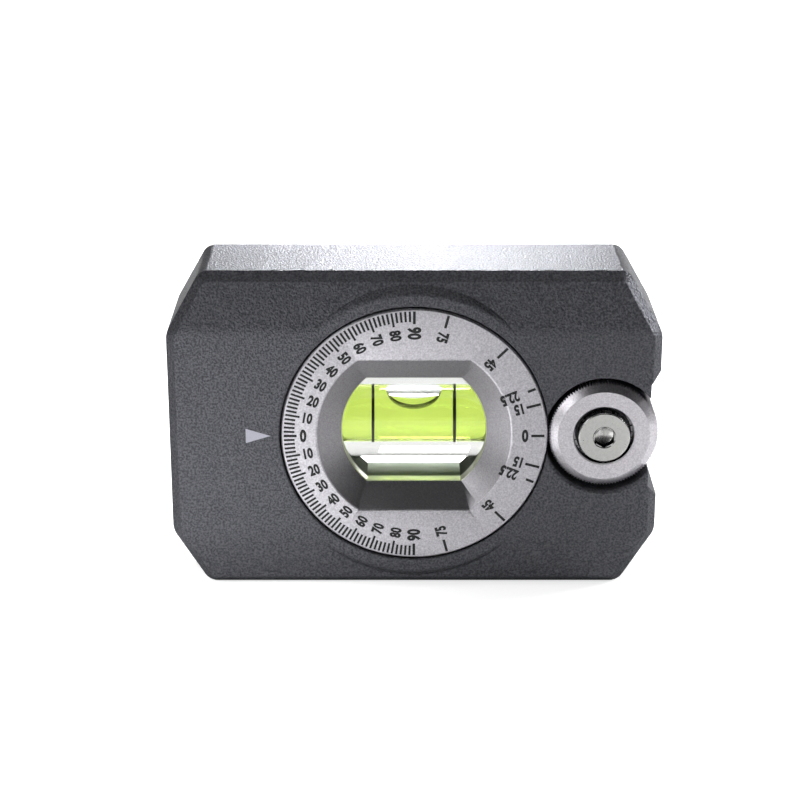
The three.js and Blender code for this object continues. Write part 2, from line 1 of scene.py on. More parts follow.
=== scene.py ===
# Looks of the magnetic angle level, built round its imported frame.
# Shapes are modelled in millimetres about the dial's centre, then put in place in metres.
# X runs along the block, Y from its front to its back and Z up.
import math

import bmesh
import bpy
from mathutils import Matrix, Vector


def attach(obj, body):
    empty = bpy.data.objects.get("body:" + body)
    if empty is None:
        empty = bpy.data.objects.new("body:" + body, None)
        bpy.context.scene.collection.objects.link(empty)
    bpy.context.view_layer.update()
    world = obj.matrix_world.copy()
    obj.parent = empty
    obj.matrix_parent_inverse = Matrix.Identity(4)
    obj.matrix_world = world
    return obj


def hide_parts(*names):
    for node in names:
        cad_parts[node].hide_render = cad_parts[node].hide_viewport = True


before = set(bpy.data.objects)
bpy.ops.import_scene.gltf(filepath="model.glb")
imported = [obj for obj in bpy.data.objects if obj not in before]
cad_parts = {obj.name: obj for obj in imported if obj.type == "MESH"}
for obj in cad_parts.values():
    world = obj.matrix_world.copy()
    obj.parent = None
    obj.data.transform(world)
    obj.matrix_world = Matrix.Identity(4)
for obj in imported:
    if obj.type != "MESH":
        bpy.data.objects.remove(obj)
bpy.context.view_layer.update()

MM = 0.001

# Block
HALF_LENGTH = 50
HALF_HEIGHT = 34
HALF_DEPTH = 13.5
CORNER_RUN = 7
CORNER_RISE = 12.5
TOP_CORNER_RADIUS = 2.8
SIDE_CORNER_RADIUS = 4.5
CORNER_STEPS = 6
FLAT_BAND_HALF = 22.2
SLANT_DROP = 2
SLANT_RUN = 11.8
FOLD_SOFTNESS = 1.2
FOLD_STEPS = 4
EDGE_BEVEL = 1.75
BEVELLED_TURN = 60
EDGE_BREAK = 0.2
BROKEN_TURN = 22
BREAK_STEPS = 3
BOSS_RADIUS = 30.1
BOSS_SLOPE = 2.4
BOSS_BREAK = 0.5
NOTCH_DEPTH = 2
NOTCH_MOUTH_HALF = 13.5
NOTCH_FLOOR_HALF = 11
OVERRUN = 1

# Bores in the block
LIP_RADIUS = 27.47
LIP_BREAK = 0.2
LIP_BACK = -11
TOOTH_SPACE_RADIUS = 28.08
STEP_FACE = 3
BEARING_RADIUS = 29.4
WHEEL_PLACE = 38.7
POCKET_RADIUS = 12.13
POCKET_LIP = 0.9
POCKET_LIP_LIFT = 0.03
POCKET_FLOOR = 1.5

# Base magnets
MAGNET_PLACES = (-35.5, -21, 21, 35.5)
MAGNET_RADIUS = 5
MAGNET_THICKNESS = 4
MAGNET_GAP = 0.1
MAGNET_EASE = 0.15

# Dial
DIAL_RADIUS = 27.17
DIAL_RIM_CHAMFER = 0.35
DIAL_EDGE_EASE = 0.06
FACE_HUB_RADIUS = 24.77
DIAL_SEAM = 0.1
WINDOW_RADIUS = 19.95
WINDOW_FLAT = 16.35
THROAT_RADIUS = 14.8
REAR_THROAT_RADIUS = 16.6
THROAT_FLAT = 11.2
FUNNEL_DEPTH = 3.7
MOUTH_BREAK = 0.25
THROAT_BREAK = 0.2
# Depth of the painted highlight along the front edge of the window's throat walls
THROAT_HIGHLIGHT_DEPTH = 2
CRADLE_RADIUS = 9.5
CRADLE_HALF = 20.1

# Rear half of the dial and the ring that holds it
SPIGOT_RADIUS = 27
FLANGE_RADIUS = 29.1
FLANGE_FACE = 4.15
FLANGE_THICKNESS = 2
BACK_HUB_RADIUS = 24.5
GROOVE_PLACE = 10.425
GROOVE_HALF = 0.95
GROOVE_RADIUS = 22.8
LOCK_RING_INNER = 24.8
LOCK_RING_OUTER = 29.3
LOCK_RING_FACE = 7.35
LOCK_RING_CHAMFER = 0.5
LOCK_RING_EASE = 0.12
SPANNER_HOLES = 4
SPANNER_HOLE_RADIUS = 1.1
SPANNER_HOLE_DEPTH = 2.2

# Screws of the dial
SCREW_CIRCLE = 20.94
SCREW_SPREAD = math.pi / 10
SCREW_RADIUS = 1.5
SCREW_REACH = 6
SCREW_HEAD_RADIUS = 2.6
SCREW_HEAD_SEAT = 6.6
SCREW_HEAD_HEIGHT = 2
SCREW_HEAD_EASE = 0.2
SCREW_KEY_RADIUS = 1.25
SCREW_GAP = 0.15

# Vial
BARREL_RADIUS = 9
BARREL_HALF = 20
BARREL_CHAMFER = 0.5
BORE_RADIUS = 4.05
SPIRIT_LAP = 0.01
SPIRIT_HALF = 16.9
LINE_PLACE = 8.5
LINE_WIDTH = 0.55
LINE_OUTER = 4.12
LINE_INNER = 3.7
BUBBLE_HALF = (5.75, 3.4, 3.2)
BUBBLE_STEPS = 64

# Thumbwheel
WHEEL_TEETH = 111
WHEEL_MEAN_RADIUS = 11.05
TOOTH_TIP = 0.18
TOOTH_ROOT = 0.3
WHEEL_FACE_RADIUS = 9.4
WHEEL_CONE_DEPTH = 1.2
WHEEL_BACK = 0.6
WHEEL_TIP_ROOM = 0.2
WHEEL_REAR_BREAK = 0.2
WHEEL_REAR_TAPER = 0.4
COUNTERBORE_RADIUS = 6.1
COUNTERBORE_FLOOR = -10.9
COUNTERBORE_BREAK = 0.22
BUSH_RADIUS = 4.95
BUSH_GAP = 0.05
BUSH_BORE = 4.05
BUSH_SET_BACK = 0.1
BUSH_EASE = 0.1
BUSH_FLANGE_RADIUS = 5.7
BUSH_FLANGE_FACE = -11.55
BUSH_FLANGE_THICKNESS = 0.6
HEAD_RADIUS = 5.25
HEAD_FRONT = -14.5
HEAD_BACK = -11.65
HEAD_CHAMFER = 0.3
SHOULDER_RADIUS = 4
THREAD_RADIUS = 3
THREAD_END = 10.7
KEY_ACROSS_FLATS = 4
KEY_DEPTH = 2
KEY_LEAD_IN = 0.12
KEY_LEAD_IN_DEPTH = KEY_LEAD_IN * 1.5
KEY_WALL_LEAN = 0.1
DRILL_POINT_DEPTH = 1.2

# Marks
TICK_EVERY = 2
NUMERAL_EVERY = 10
MARK_HEIGHT = 0.015
MARK_SINK = 0.01
MARK_EDGE = 0.6
TICK_LENGTH = 2.2
TICK_WIDTH = 0.45
LONG_TICK_LENGTH = 2.95
BOLD_TICK_LENGTH = 2.65
BOLD_TICK_WIDTH = 0.55
NUMERAL_HEIGHT = 2.15
LARGE_NUMERAL_HEIGHT = 2.55
FONT_SIZE_PER_HEIGHT = 1.38
NUMERAL_NARROWING = 0.72
NUMERAL_SPACING = 1.04
NUMERAL_BOLDNESS = 0.15
LARGE_NUMERAL_BOLDNESS = 0.17
NUMERAL_CURVE_STEPS = 3
NUMERAL_RADIUS = 22.9
LARGE_NUMERAL_RADIUS = 23.3
POINTER_BASE = -34.3
POINTER_TIP = -29.25
POINTER_HALF = 1.55

# Angle in degrees and length of each mark on the dial's right half
RIGHT_MARKS = ((0, 2.7), (15, 3.0), (22.5, 1.7), (45, 2.9), (75, 2.7))

# Fineness, with angles in degrees
WIDE_STEPS = 192
MIDDLE_STEPS = 96
SMALL_STEPS = 48
ROUND_STEPS = 5
EASED_TURN = 25
SMOOTH_TURN = 30
SAME_PLACE = 0.01
MERGE_GAP = 0.00001
SKIN_MERGE_GAP = 0.002
SKIN_FLAT_TURN = 0.3

FULL_TURN = 2 * math.pi
QUARTER_TURN = math.pi / 2


# Shaping helpers


def clean(shape):
    bmesh.ops.remove_doubles(shape, verts=shape.verts, dist=MERGE_GAP)
    bmesh.ops.recalc_face_normals(shape, faces=shape.faces)
    return shape


def move(shape, place):
    bmesh.ops.translate(shape, verts=shape.verts, vec=place)
    return shape


def turn_about(shape, axis, angle):
    bmesh.ops.rotate(shape, verts=shape.verts, cent=(0, 0, 0), matrix=Matrix.Rotation(angle, 3, axis))
    return shape


def pull(shape, faces, direction):
    """Extrudes faces along a direction."""
    pulled = bmesh.ops.extrude_face_region(shape, geom=faces)["geom"]
    corners = [part for part in pulled if isinstance(part, bmesh.types.BMVert)]
    bmesh.ops.translate(shape, verts=corners, vec=direction)
    return clean(shape)


def ease_edges(shape, amount, segments=2, chosen=None):
    """Rounds every edge that turns clearly, or only the chosen ones."""
    edges = chosen
    if edges is None:
        edges = [
            edge for edge in shape.edges
            if edge.is_manifold and math.degrees(edge.calc_face_angle()) > EASED_TURN
        ]
    bmesh.ops.bevel(
        shape, geom=edges, offset=amount, offset_type="OFFSET", affect="EDGES",
        segments=segments, profile=0.5, material=-1, clamp_overlap=False, loop_slide=True,
    )
    return shape


def turned(profile, steps, rounds=(), centre=(0, 0)):
    """A form turned about Y from rows of radius and depth.

    Rows that start and end at radius zero make it solid. Otherwise it is a ring, and its last row joins
    its first. rounds gives the rows to round, each with its radius, and centre the place of the axis.
    """
    shape = bmesh.new()
    solid = any(radius == 0 for radius, _ in profile)
    corners = [shape.verts.new((radius, depth, 0)) for radius, depth in profile]
    pairs = zip(corners, corners[1:] if solid else corners[1:] + corners[:1])
    for pair in pairs:
        shape.edges.new(pair)
    for row, radius in rounds:
        bmesh.ops.bevel(
            shape, geom=[corners[row]], offset=radius, offset_type="OFFSET", affect="VERTICES",
            segments=ROUND_STEPS, profile=0.5, material=-1, clamp_overlap=False,
        )
    bmesh.ops.spin(
        shape, geom=shape.verts[:] + shape.edges[:], axis=(0, 1, 0), cent=(0, 0, 0),
        angle=FULL_TURN, steps=steps, use_merge=True,
    )
    return clean(move(shape, (centre[0], 0, centre[1])))


def prism(points, direction):
    """A flat outline pulled along a direction."""
    shape = bmesh.new()
    face = shape.faces.new([shape.verts.new(point) for point in points])
    return pull(shape, [face], direction)


def key_hole(radius, front, depth, centre=(0, 0)):
    """A hexagon cutter for a screw's key, along Y."""
    shape = bmesh.new()
    bmesh.ops.create_cone(shape, cap_ends=True, segments=6, radius1=radius, radius2=radius, depth=depth)
    turn_about(shape, "X", QUARTER_TURN)
    return move(shape, (centre[0], front + depth / 2, centre[1]))


def along_x(shape):
    """Lays a form made about Y along X."""
    return turn_about(shape, "Z", -QUARTER_TURN)


def mesh_of(name, shape):
    mesh = bpy.data.meshes.new(name)
    shape.to_mesh(mesh)
    shape.free()
    return mesh


def add_object(name, contents):
    holder = bpy.data.objects.new(name, contents)
    bpy.context.scene.collection.objects.link(holder)
    return holder


def evaluated_mesh(holder):
    return bpy.data.meshes.new_from_object(holder.evaluated_get(bpy.context.evaluated_depsgraph_get()))


def combined(blank, tools, operation):
    """The blank joined with, cut by or cut down to each tool in turn."""
    work = add_object("blank", mesh_of("blank", blank))
    holders = [add_object("tool", mesh_of("tool", tool)) for tool in tools]
    for holder in holders:
        step = work.modifiers.new("step", "BOOLEAN")
        step.solver = "MANIFOLD"
        step.operation = operation
        step.object = holder
    finished = evaluated_mesh(work)
    shape = bmesh.new()
    shape.from_mesh(finished)
    for holder in [work] + holders:
        mesh = holder.data
        bpy.data.objects.remove(holder)
        bpy.data.meshes.remove(mesh)
    bpy.data.meshes.remove(finished)
    return shape


def cut(blank, *tools):
    return combined(blank, tools, "DIFFERENCE")


def set_piece(name, shape, body, finish, stands_for=(), even_normals=True, inner=()):
    """Puts a finished shape in place as a piece that rides on a body.

    stands_for names the frame's nodes that it replaces. Faces marked 1 and 2 take the inner finishes.
    """
    move(shape, (0, 0, HALF_HEIGHT))
    bmesh.ops.scale(shape, verts=shape.verts, vec=(MM, MM, MM))
    mesh = mesh_of(name, shape)
    for material in (finish, *inner):
        mesh.materials.append(material)
    mesh.shade_smooth()
    mesh.set_sharp_from_angle(angle=math.radians(SMOOTH_TURN))
    piece = add_object(name, mesh)
    if even_normals:
        step = piece.modifiers.new("even_normals", "WEIGHTED_NORMAL")
        step.keep_sharp = True
    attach(piece, body)
    if stands_for:
        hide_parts(*stands_for)


# Finishes

# Most of a grain's values lie in this span. Gloss swings a little, in coarser grain than the colour.
GRAIN_SPAN = (0.3, 0.7)
GLOSS_GRAIN_SHARE = 1.7
ROUGHNESS_SWING = 0.05


class Finish:
    """A material whose colour, roughness and bump come from procedural grain."""

    def __init__(self, name, **settings):
        self.material = bpy.data.materials.new(name)
        self.material.use_nodes = True
        self.nodes = self.material.node_tree.nodes
        self.links = self.material.node_tree.links
        self.shader = self.nodes["Principled BSDF"]
        self.place = self.nodes.new("ShaderNodeTexCoord")
        for socket, value in settings.items():
            self.shader.inputs[socket.replace("_", " ")].default_value = value

    def grain(self, size, detail=3, rough=0.6):
        """Soft random grain with features of about the given size in millimetres."""
        noise = self.nodes.new("ShaderNodeTexNoise")
        noise.inputs["Scale"].default_value = 1 / (size * MM)
        noise.inputs["Detail"].default_value = detail
        noise.inputs["Roughness"].default_value = rough
        self.links.new(self.place.outputs["Object"], noise.inputs["Vector"])
        return noise.outputs["Fac"]

    def ramp(self, source, stops):
        """Colours or greys by the strength of a pattern, from (place, colour) stops."""
        ramp = self.nodes.new("ShaderNodeValToRGB")
        first, last = ramp.color_ramp.elements[0], ramp.color_ramp.elements[1]
        first.position, first.color = stops[0][0], (*stops[0][1], 1)
        last.position, last.color = stops[-1][0], (*stops[-1][1], 1)
        for place, colour in stops[1:-1]:
            element = ramp.color_ramp.elements.new(place)
            element.color = (*colour, 1)
        self.links.new(source, ramp.inputs["Fac"])
        return ramp.outputs["Color"]

    def spread(self, source, low, high):
        """Grain stretched to run from low to high."""
        stretch = self.nodes.new("ShaderNodeMapRange")
        for socket, value in zip(("From Min", "From Max", "To Min", "To Max"), (*GRAIN_SPAN, low, high)):
            stretch.inputs[socket].default_value = value
        self.links.new(source, stretch.inputs["Value"])
        return stretch.outputs["Result"]

    def feed(self, socket, source):
        self.links.new(source, self.shader.inputs[socket])

    def tint(self, grain, dark, light, span=GRAIN_SPAN):
        """Colours the surface from dark to light by its grain."""
        self.feed("Base Color", self.ramp(grain, [(span[0], dark), (span[1], light)]))

    def bump(self, source, height):
        """Raises the surface by a pattern, to a height in millimetres."""
        bump = self.nodes.new("ShaderNodeBump")
        bump.inputs["Distance"].default_value = height * MM
        self.links.new(source, bump.inputs["Height"])
        self.feed("Normal", bump.outputs["Normal"])


def metal(name, dark, light, roughness, grain_size, grain_height, metallic=1.0, edge=1.0):
    """Blasted or turned metal, with grain in its colour, its gloss and its surface.

    A lower edge dulls what it reflects at a glancing angle.
    """
    finish = Finish(name, Metallic=metallic, Specular_Tint=(edge, edge, edge, 1))
    grain = finish.grain(grain_size)
    finish.tint(grain, dark, light)
    gloss_grain = finish.grain(grain_size * GLOSS_GRAIN_SHARE)
    gloss = finish.spread(gloss_grain, roughness - ROUGHNESS_SWING, roughness + ROUGHNESS_SWING)
    finish.feed("Roughness", gloss)
    finish.bump(grain, grain_height)
    return finish.material


def moulded(name, dark, light, roughness, grain_size, grain_height):
    """Plastic, rubber or paint, with a faint grain."""
    finish = Finish(name)
    grain = finish.grain(grain_size)
    finish.tint(grain, dark, light)
    finish.feed("Roughness", finish.spread(grain, roughness - ROUGHNESS_SWING, roughness + ROUGHNESS_SWING))
    finish.bump(grain, grain_height)
    return finish.material


def block_coat():
    """The block's dark grey blasted and anodised skin, with a fine pebbled grain."""
    finish = Finish("block_coat", Metallic=0.75, Specular_Tint=(0.4, 0.4, 0.4, 1))
    pebbles = finish.grain(0.42, detail=2, rough=0.5)
    finish.tint(pebbles, (0.066, 0.067, 0.076), (0.146, 0.148, 0.164), span=(0.36, 0.64))
    finish.feed("Roughness", finish.spread(finish.grain(0.9), 0.36, 0.46))
    finish.bump(pebbles, 0.2)
    return finish.material


def throat_walls():
    """The window's inner walls, with a painted highlight along their front edge and at their middle, and
    painted shade between.
    """
    finish = Finish("aluminium_painted_light_and_shade", Metallic=1.0, Specular_Tint=(0.3, 0.3, 0.3, 1))
    split = finish.nodes.new("ShaderNodeSeparateXYZ")
    finish.links.new(finish.place.outputs["Object"], split.inputs["Vector"])
    reach = finish.nodes.new("ShaderNodeMapRange")
    reach.inputs["From Min"].default_value = (FUNNEL_DEPTH - HALF_DEPTH) * MM
    reach.inputs["From Max"].default_value = 0
    finish.links.new(split.outputs["Y"], reach.inputs["Value"])
    highlight_share = THROAT_HIGHLIGHT_DEPTH / (HALF_DEPTH - FUNNEL_DEPTH)
    shade_share, deep_shade_share, last_shade_share = 1.4 * highlight_share, 0.8, 0.98
    # Painted light and shade along the walls, from the front edge to the middle: a pale painted highlight,
    # then dark painted shade, then painted light at the middle and across the rear plate's walls.
    stops = [
        (highlight_share, (0.92, 0.94, 0.82)),
        (shade_share, (0.15, 0.165, 0.14)),
        (deep_shade_share, (0.12, 0.13, 0.11)),
        (last_shade_share, (0.12, 0.13, 0.11)),
        (1, (0.8, 0.82, 0.8)),
    ]
    finish.feed("Base Color", finish.ramp(reach.outputs["Result"], stops))
    gloss = [(highlight_share, (0.3, 0.3, 0.3)), (shade_share, (0.5, 0.5, 0.5))]
    finish.feed("Roughness", finish.ramp(reach.outputs["Result"], gloss))
    finish.bump(finish.grain(0.4), 0.003)
    return finish.material


def clear_acrylic():
    finish = Finish("clear_acrylic", Roughness=0.0, IOR=1.49, Transmission_Weight=1.0)
    finish.tint(finish.grain(6), (0.97, 0.99, 0.96), (1.0, 1.0, 0.99))
    return finish.material


def green_spirit():
    finish = Finish("green_spirit", Roughness=0.0, IOR=1.36, Transmission_Weight=1.0)
    finish.tint(finish.grain(8), (0.59, 0.77, 0.13), (0.63, 0.80, 0.15))
    return finish.material


# A metal or moulded finish has a dark and a light colour, a roughness, and its grain's size and height.
FINISHES = {
    "block": block_coat(),
    "dial": metal(
        "blasted_aluminium", (0.43, 0.42, 0.455), (0.71, 0.695, 0.735), 0.36, 0.34, 0.045, edge=0.6,
    ),
    "funnel": metal("shaded_aluminium", (0.30, 0.29, 0.31), (0.44, 0.43, 0.45), 0.40, 0.3, 0.026, edge=0.4),
    # The throat's walls: painted highlight and painted shade.
    "throat": throat_walls(),
    "wheel": metal("turned_aluminium", (0.56, 0.545, 0.58), (0.83, 0.80, 0.85), 0.33, 0.34, 0.04, edge=0.5),
    "steel": metal("turned_steel", (0.56, 0.56, 0.545), (0.65, 0.65, 0.635), 0.24, 0.5, 0.003),
    # Near-black steel as painted shade, on the bush and on the walls of the wheel's counterbore and the
    # screw's socket.
    "bush": metal("steel_painted_shade", (0.030, 0.030, 0.031), (0.050, 0.050, 0.052), 0.35, 0.5, 0.003, edge=0.3),
    "magnet": metal("nickel_plate", (0.48, 0.48, 0.47), (0.58, 0.58, 0.57), 0.22, 0.8, 0.002),
    "black_ring": metal(
        "black_anodising", (0.012, 0.012, 0.013), (0.022, 0.022, 0.024), 0.4, 0.3, 0.008, metallic=0.6,
    ),
    "white_plastic": moulded("white_plastic", (0.72, 0.71, 0.67), (0.80, 0.79, 0.75), 0.45, 0.5, 0.004),
    "rubber": moulded("black_rubber", (0.012, 0.012, 0.013), (0.020, 0.020, 0.021), 0.7, 0.3, 0.01),
    "ink": moulded("black_ink", (0.006, 0.006, 0.007), (0.012, 0.012, 0.013), 0.6, 0.2, 0.002),
    "pale_paint": moulded("pale_paint", (0.44, 0.44, 0.52), (0.52, 0.52, 0.60), 0.5, 0.25, 0.004),
    "acrylic": clear_acrylic(),
    "spirit": green_spirit(),
}


# Block


def slice_off(shape, place, normal):
    """Takes away all that lies beyond a plane, and closes the cut."""
    sliced = bmesh.ops.bisect_plane(
        shape, geom=shape.verts[:] + shape.edges[:] + shape.faces[:], dist=MERGE_GAP, clear_outer=True,
        plane_co=place, plane_no=normal,
    )
    rim = [part for part in sliced["geom_cut"] if isinstance(part, bmesh.types.BMEdge)]
    bmesh.ops.holes_fill(shape, edges=rim, sides=0)


def tight_skin(shape):
    """The convex form's skin made anew over its corners, with flat faces joined up."""
    bmesh.ops.delete(shape, geom=shape.edges[:], context="EDGES_FACES")
    bmesh.ops.remove_doubles(shape, verts=shape.verts, dist=SKIN_MERGE_GAP)
    hull = bmesh.ops.convex_hull(shape, input=shape.verts)
    left_over = hull["geom_interior"] + hull["geom_unused"]
    spare = [part for part in left_over if isinstance(part, bmesh.types.BMVert)]
    bmesh.ops.delete(shape, geom=list(dict.fromkeys(spare)), context="VERTS")
    bmesh.ops.dissolve_limit(
        shape, angle_limit=math.radians(SKIN_FLAT_TURN), use_dissolve_boundaries=False,
        verts=shape.verts, edges=shape.edges, delimit=set(),
    )
    return clean(shape)


def edge_place(edge):
    """An edge's rounded middle, by which edges are put in order."""
    middle = (edge.verts[0].co + edge.verts[1].co) / 2
    return [round(value, 3) for value in middle]


def plane_off_edges(shape, reach, over, steps):
    """Takes the edges that turn by more than an angle off a convex form, with a flat or a rounding."""
    planes = []
    for edge in sorted(shape.edges, key=edge_place):
        turn = edge.calc_face_angle()
        if math.degrees(turn) < over:
            continue
        first, second = [face.normal.copy() for face in edge.link_faces]
        middle = (edge.verts[0].co + edge.verts[1].co) / 2
        outward = (first + second).normalized()
        if steps == 1:
            planes.append((middle - outward * reach * math.sin(turn / 2), outward))
            continue
        radius = reach / math.tan(turn / 2)
        centre = middle - outward * radius / math.cos(turn / 2)
        for step in range(1, steps + 1):
            normal = first.slerp(second, step / (steps + 1)).normalized()
            planes.append((centre + normal * radius, normal))
    for place, normal in planes:
        slice_off(shape, place, normal)
    return tight_skin(shape)


def block_blank():
    """The eight-sided block: rounded corners, slanted faces with a soft fold, and bevelled edges."""
    slope_x, slope_z = HALF_LENGTH - CORNER_RUN, HALF_HEIGHT - CORNER_RISE
    outline = [
        (HALF_LENGTH, slope_z), (slope_x, HALF_HEIGHT),
        (-slope_x, HALF_HEIGHT), (-HALF_LENGTH, slope_z),
        (-HALF_LENGTH, -slope_z), (-slope_x, -HALF_HEIGHT),
        (slope_x, -HALF_HEIGHT), (HALF_LENGTH, -slope_z),
    ]
    shape = prism([(x, -HALF_DEPTH, z) for x, z in outline], (0, 2 * HALF_DEPTH, 0))
    lean = math.atan2(CORNER_RISE, CORNER_RUN)
    corners = ((slope_x, TOP_CORNER_RADIUS, lean), (HALF_LENGTH, SIDE_CORNER_RADIUS, QUARTER_TURN - lean))
    for place, radius, turn in corners:
        chosen = [
            edge for edge in shape.edges
            if all(abs(abs(corner.co.x) - place) < SAME_PLACE for corner in edge.verts)
            and abs(edge.verts[0].co.y - edge.verts[1].co.y) > HALF_DEPTH
        ]
        ease_edges(shape, radius * math.tan(turn / 2), segments=CORNER_STEPS, chosen=chosen)
    fall = math.atan2(SLANT_DROP, SLANT_RUN)
    fold_radius = FOLD_SOFTNESS / math.tan(fall / 2)
    fold_y, fold_z = HALF_DEPTH - fold_radius, FLAT_BAND_HALF - FOLD_SOFTNESS
    for front in (-1, 1):
        for up in (-1, 1):
            for step in range(1, FOLD_STEPS + 1):
                angle = fall * step / FOLD_STEPS
                normal = Vector((0, front * math.cos(angle), up * math.sin(angle)))
                slice_off(shape, Vector((0, front * fold_y, up * fold_z)) + normal * fold_radius, normal)
    clean(shape)
    plane_off_edges(shape, EDGE_BEVEL, over=BEVELLED_TURN, steps=1)
    return plane_off_edges(shape, EDGE_BREAK, over=BROKEN_TURN, steps=BREAK_STEPS)


def boss():
    """The raised ring round the dial, level with the flat band."""
    return turned([
        (0, -HALF_DEPTH),
        (BOSS_RADIUS, -HALF_DEPTH),
        (BOSS_RADIUS + BOSS_SLOPE, BOSS_SLOPE - HALF_DEPTH),
        (BOSS_RADIUS + BOSS_SLOPE, HALF_DEPTH - BOSS_SLOPE),
        (BOSS_RADIUS, HALF_DEPTH),
        (0, HALF_DEPTH),
    ], WIDE_STEPS, rounds=[(1, BOSS_BREAK), (4, BOSS_BREAK)])


def dial_bore():
    front, rear = -HALF_DEPTH - OVERRUN, HALF_DEPTH + OVERRUN
    return turned([
        (0, front),
        (LIP_RADIUS + LIP_BREAK + OVERRUN, front),
        (LIP_RADIUS, LIP_BREAK - HALF_DEPTH),
        (LIP_RADIUS, LIP_BACK),
        (TOOTH_SPACE_RADIUS, LIP_BACK),
        (TOOTH_SPACE_RADIUS, STEP_FACE),
        (BEARING_RADIUS, STEP_FACE),
        (BEARING_RADIUS, HALF_DEPTH - LIP_BREAK),
        (BEARING_RADIUS + LIP_BREAK + OVERRUN, rear),
        (0, rear),
    ], WIDE_STEPS)


def wheel_pocket():
    """The thumbwheel's pocket, whose rounded mouth starts a hair in front of the face."""
    return turned([
        (0, -HALF_DEPTH - OVERRUN),
        (POCKET_RADIUS + 2 * POCKET_LIP, -HALF_DEPTH - OVERRUN),
        (POCKET_RADIUS + 2 * POCKET_LIP, -HALF_DEPTH - POCKET_LIP_LIFT),
        (POCKET_RADIUS, -HALF_DEPTH - POCKET_LIP_LIFT),
        (POCKET_RADIUS, POCKET_FLOOR),
        (0, POCKET_FLOOR),
    ], WIDE_STEPS, rounds=[(3, POCKET_LIP)], centre=(WHEEL_PLACE, 0))


def thumb_notch():
    flare = (NOTCH_MOUTH_HALF - NOTCH_FLOOR_HALF) * OVERRUN / NOTCH_DEPTH
    floor, mouth = HALF_LENGTH - NOTCH_DEPTH, HALF_LENGTH + OVERRUN
    outline = [
        (floor, -NOTCH_FLOOR_HALF), (mouth, -NOTCH_MOUTH_HALF - flare),
        (mouth, NOTCH_MOUTH_HALF + flare), (floor, NOTCH_FLOOR_HALF),
    ]
    start = -HALF_DEPTH - OVERRUN
    return prism([(x, start, z) for x, z in outline], (0, -2 * start, 0))


def upright(shape, x, z):
    """Stands a form made about Y on end, its front down at the given height."""
    return move(turn_about(shape, "X", QUARTER_TURN), (x, 0, z))


def magnet_hole(x):
    """A magnet's hole in the base, with a small chamfer at its mouth."""
    radius, mouth = MAGNET_RADIUS + MAGNET_GAP, MAGNET_RADIUS + MAGNET_GAP + OVERRUN + MAGNET_GAP
    rows = [
        (0, -OVERRUN), (mouth, -OVERRUN), (radius, MAGNET_GAP),
        (radius, MAGNET_THICKNESS + MAGNET_GAP), (0, MAGNET_THICKNESS + MAGNET_GAP),
    ]
    return upright(turned(rows, SMALL_STEPS), x, -HALF_HEIGHT)


def make_block():
    shape = combined(block_blank(), [boss()], "UNION")
    shape = cut(shape, dial_bore(), wheel_pocket(), thumb_notch(), *[magnet_hole(x) for x in MAGNET_PLACES])
    set_piece("block_shell", shape, "block", FINISHES["block"], ["body"])
    rows = [(0, 0), (MAGNET_RADIUS, 0), (MAGNET_RADIUS, MAGNET_THICKNESS), (0, MAGNET_THICKNESS)]
    for number, x in enumerate(MAGNET_PLACES, 1):
        shape = upright(ease_edges(turned(rows, SMALL_STEPS), MAGNET_EASE), x, -HALF_HEIGHT)
        set_piece(
            f"magnet_{number}", shape, "block", FINISHES["magnet"], [f"base_magnet_{number}"],
        )


# Dial


def window_rows(throat, mouth):
    """Half of the window's section from the front to the middle, with broken edges, as (width, depth)."""
    flare = mouth - throat
    length = math.hypot(flare, FUNNEL_DEPTH)
    out, back = flare / length, FUNNEL_DEPTH / length
    inner = -HALF_DEPTH + FUNNEL_DEPTH
    reach = OVERRUN * (out + 1) / back
    return [
        (mouth + MOUTH_BREAK + reach, -HALF_DEPTH - OVERRUN),
        (mouth - MOUTH_BREAK * out, MOUTH_BREAK * back - HALF_DEPTH),
        (throat + THROAT_BREAK * out, inner - THROAT_BREAK * back),
        (throat, inner + THROAT_BREAK),
    ]


def window_cutter():
    """The see-through window: funnels with flats above and below, and a throat wider at the rear."""
    rows = window_rows(THROAT_RADIUS, WINDOW_RADIUS) + [(THROAT_RADIUS, 0), (REAR_THROAT_RADIUS, 0)]
    rear = window_rows(REAR_THROAT_RADIUS, WINDOW_RADIUS)
    rows += [(width, -depth) for width, depth in reversed(rear)]
    round_part = turned([(0, rows[0][1])] + rows + [(0, rows[-1][1])], WIDE_STEPS)
    rows = window_rows(THROAT_FLAT, WINDOW_FLAT)
    edge = rows + [(width, -depth) for width, depth in reversed(rows)]
    outline = edge + [(-width, depth) for width, depth in reversed(edge)]
    half = WINDOW_RADIUS + FUNNEL_DEPTH
    flat_part = prism([(-half, depth, width) for width, depth in outline], (2 * half, 0, 0))
    return combined(round_part, [flat_part], "INTERSECT")


def mark_window(shape):
    """Marks the funnels' walls with 1 and the throat between the two funnels with 2."""
    for face in shape.faces:
        middle = face.calc_center_median()
        if math.hypot(middle.x, middle.z) > WINDOW_RADIUS or abs(middle.y) > HALF_DEPTH - MOUTH_BREAK / 2:
            continue
        if abs(middle.y) > HALF_DEPTH - FUNNEL_DEPTH:
            face.material_index = 1
        else:
            face.material_index = 2
    return shape


def cradle_cutter():
    """The room for the vial, along X."""
    rows = [
        (0, -CRADLE_HALF), (CRADLE_RADIUS, -CRADLE_HALF),
        (CRADLE_RADIUS, CRADLE_HALF), (0, CRADLE_HALF),
    ]
    return along_x(turned(rows, MIDDLE_STEPS))


def screw_places():
    """Two screws above the window and two below it."""
    for up in (1, -1):
        for side in (1, -1):
            yield side * SCREW_CIRCLE * math.sin(SCREW_SPREAD), up * SCREW_CIRCLE * math.cos(SCREW_SPREAD)


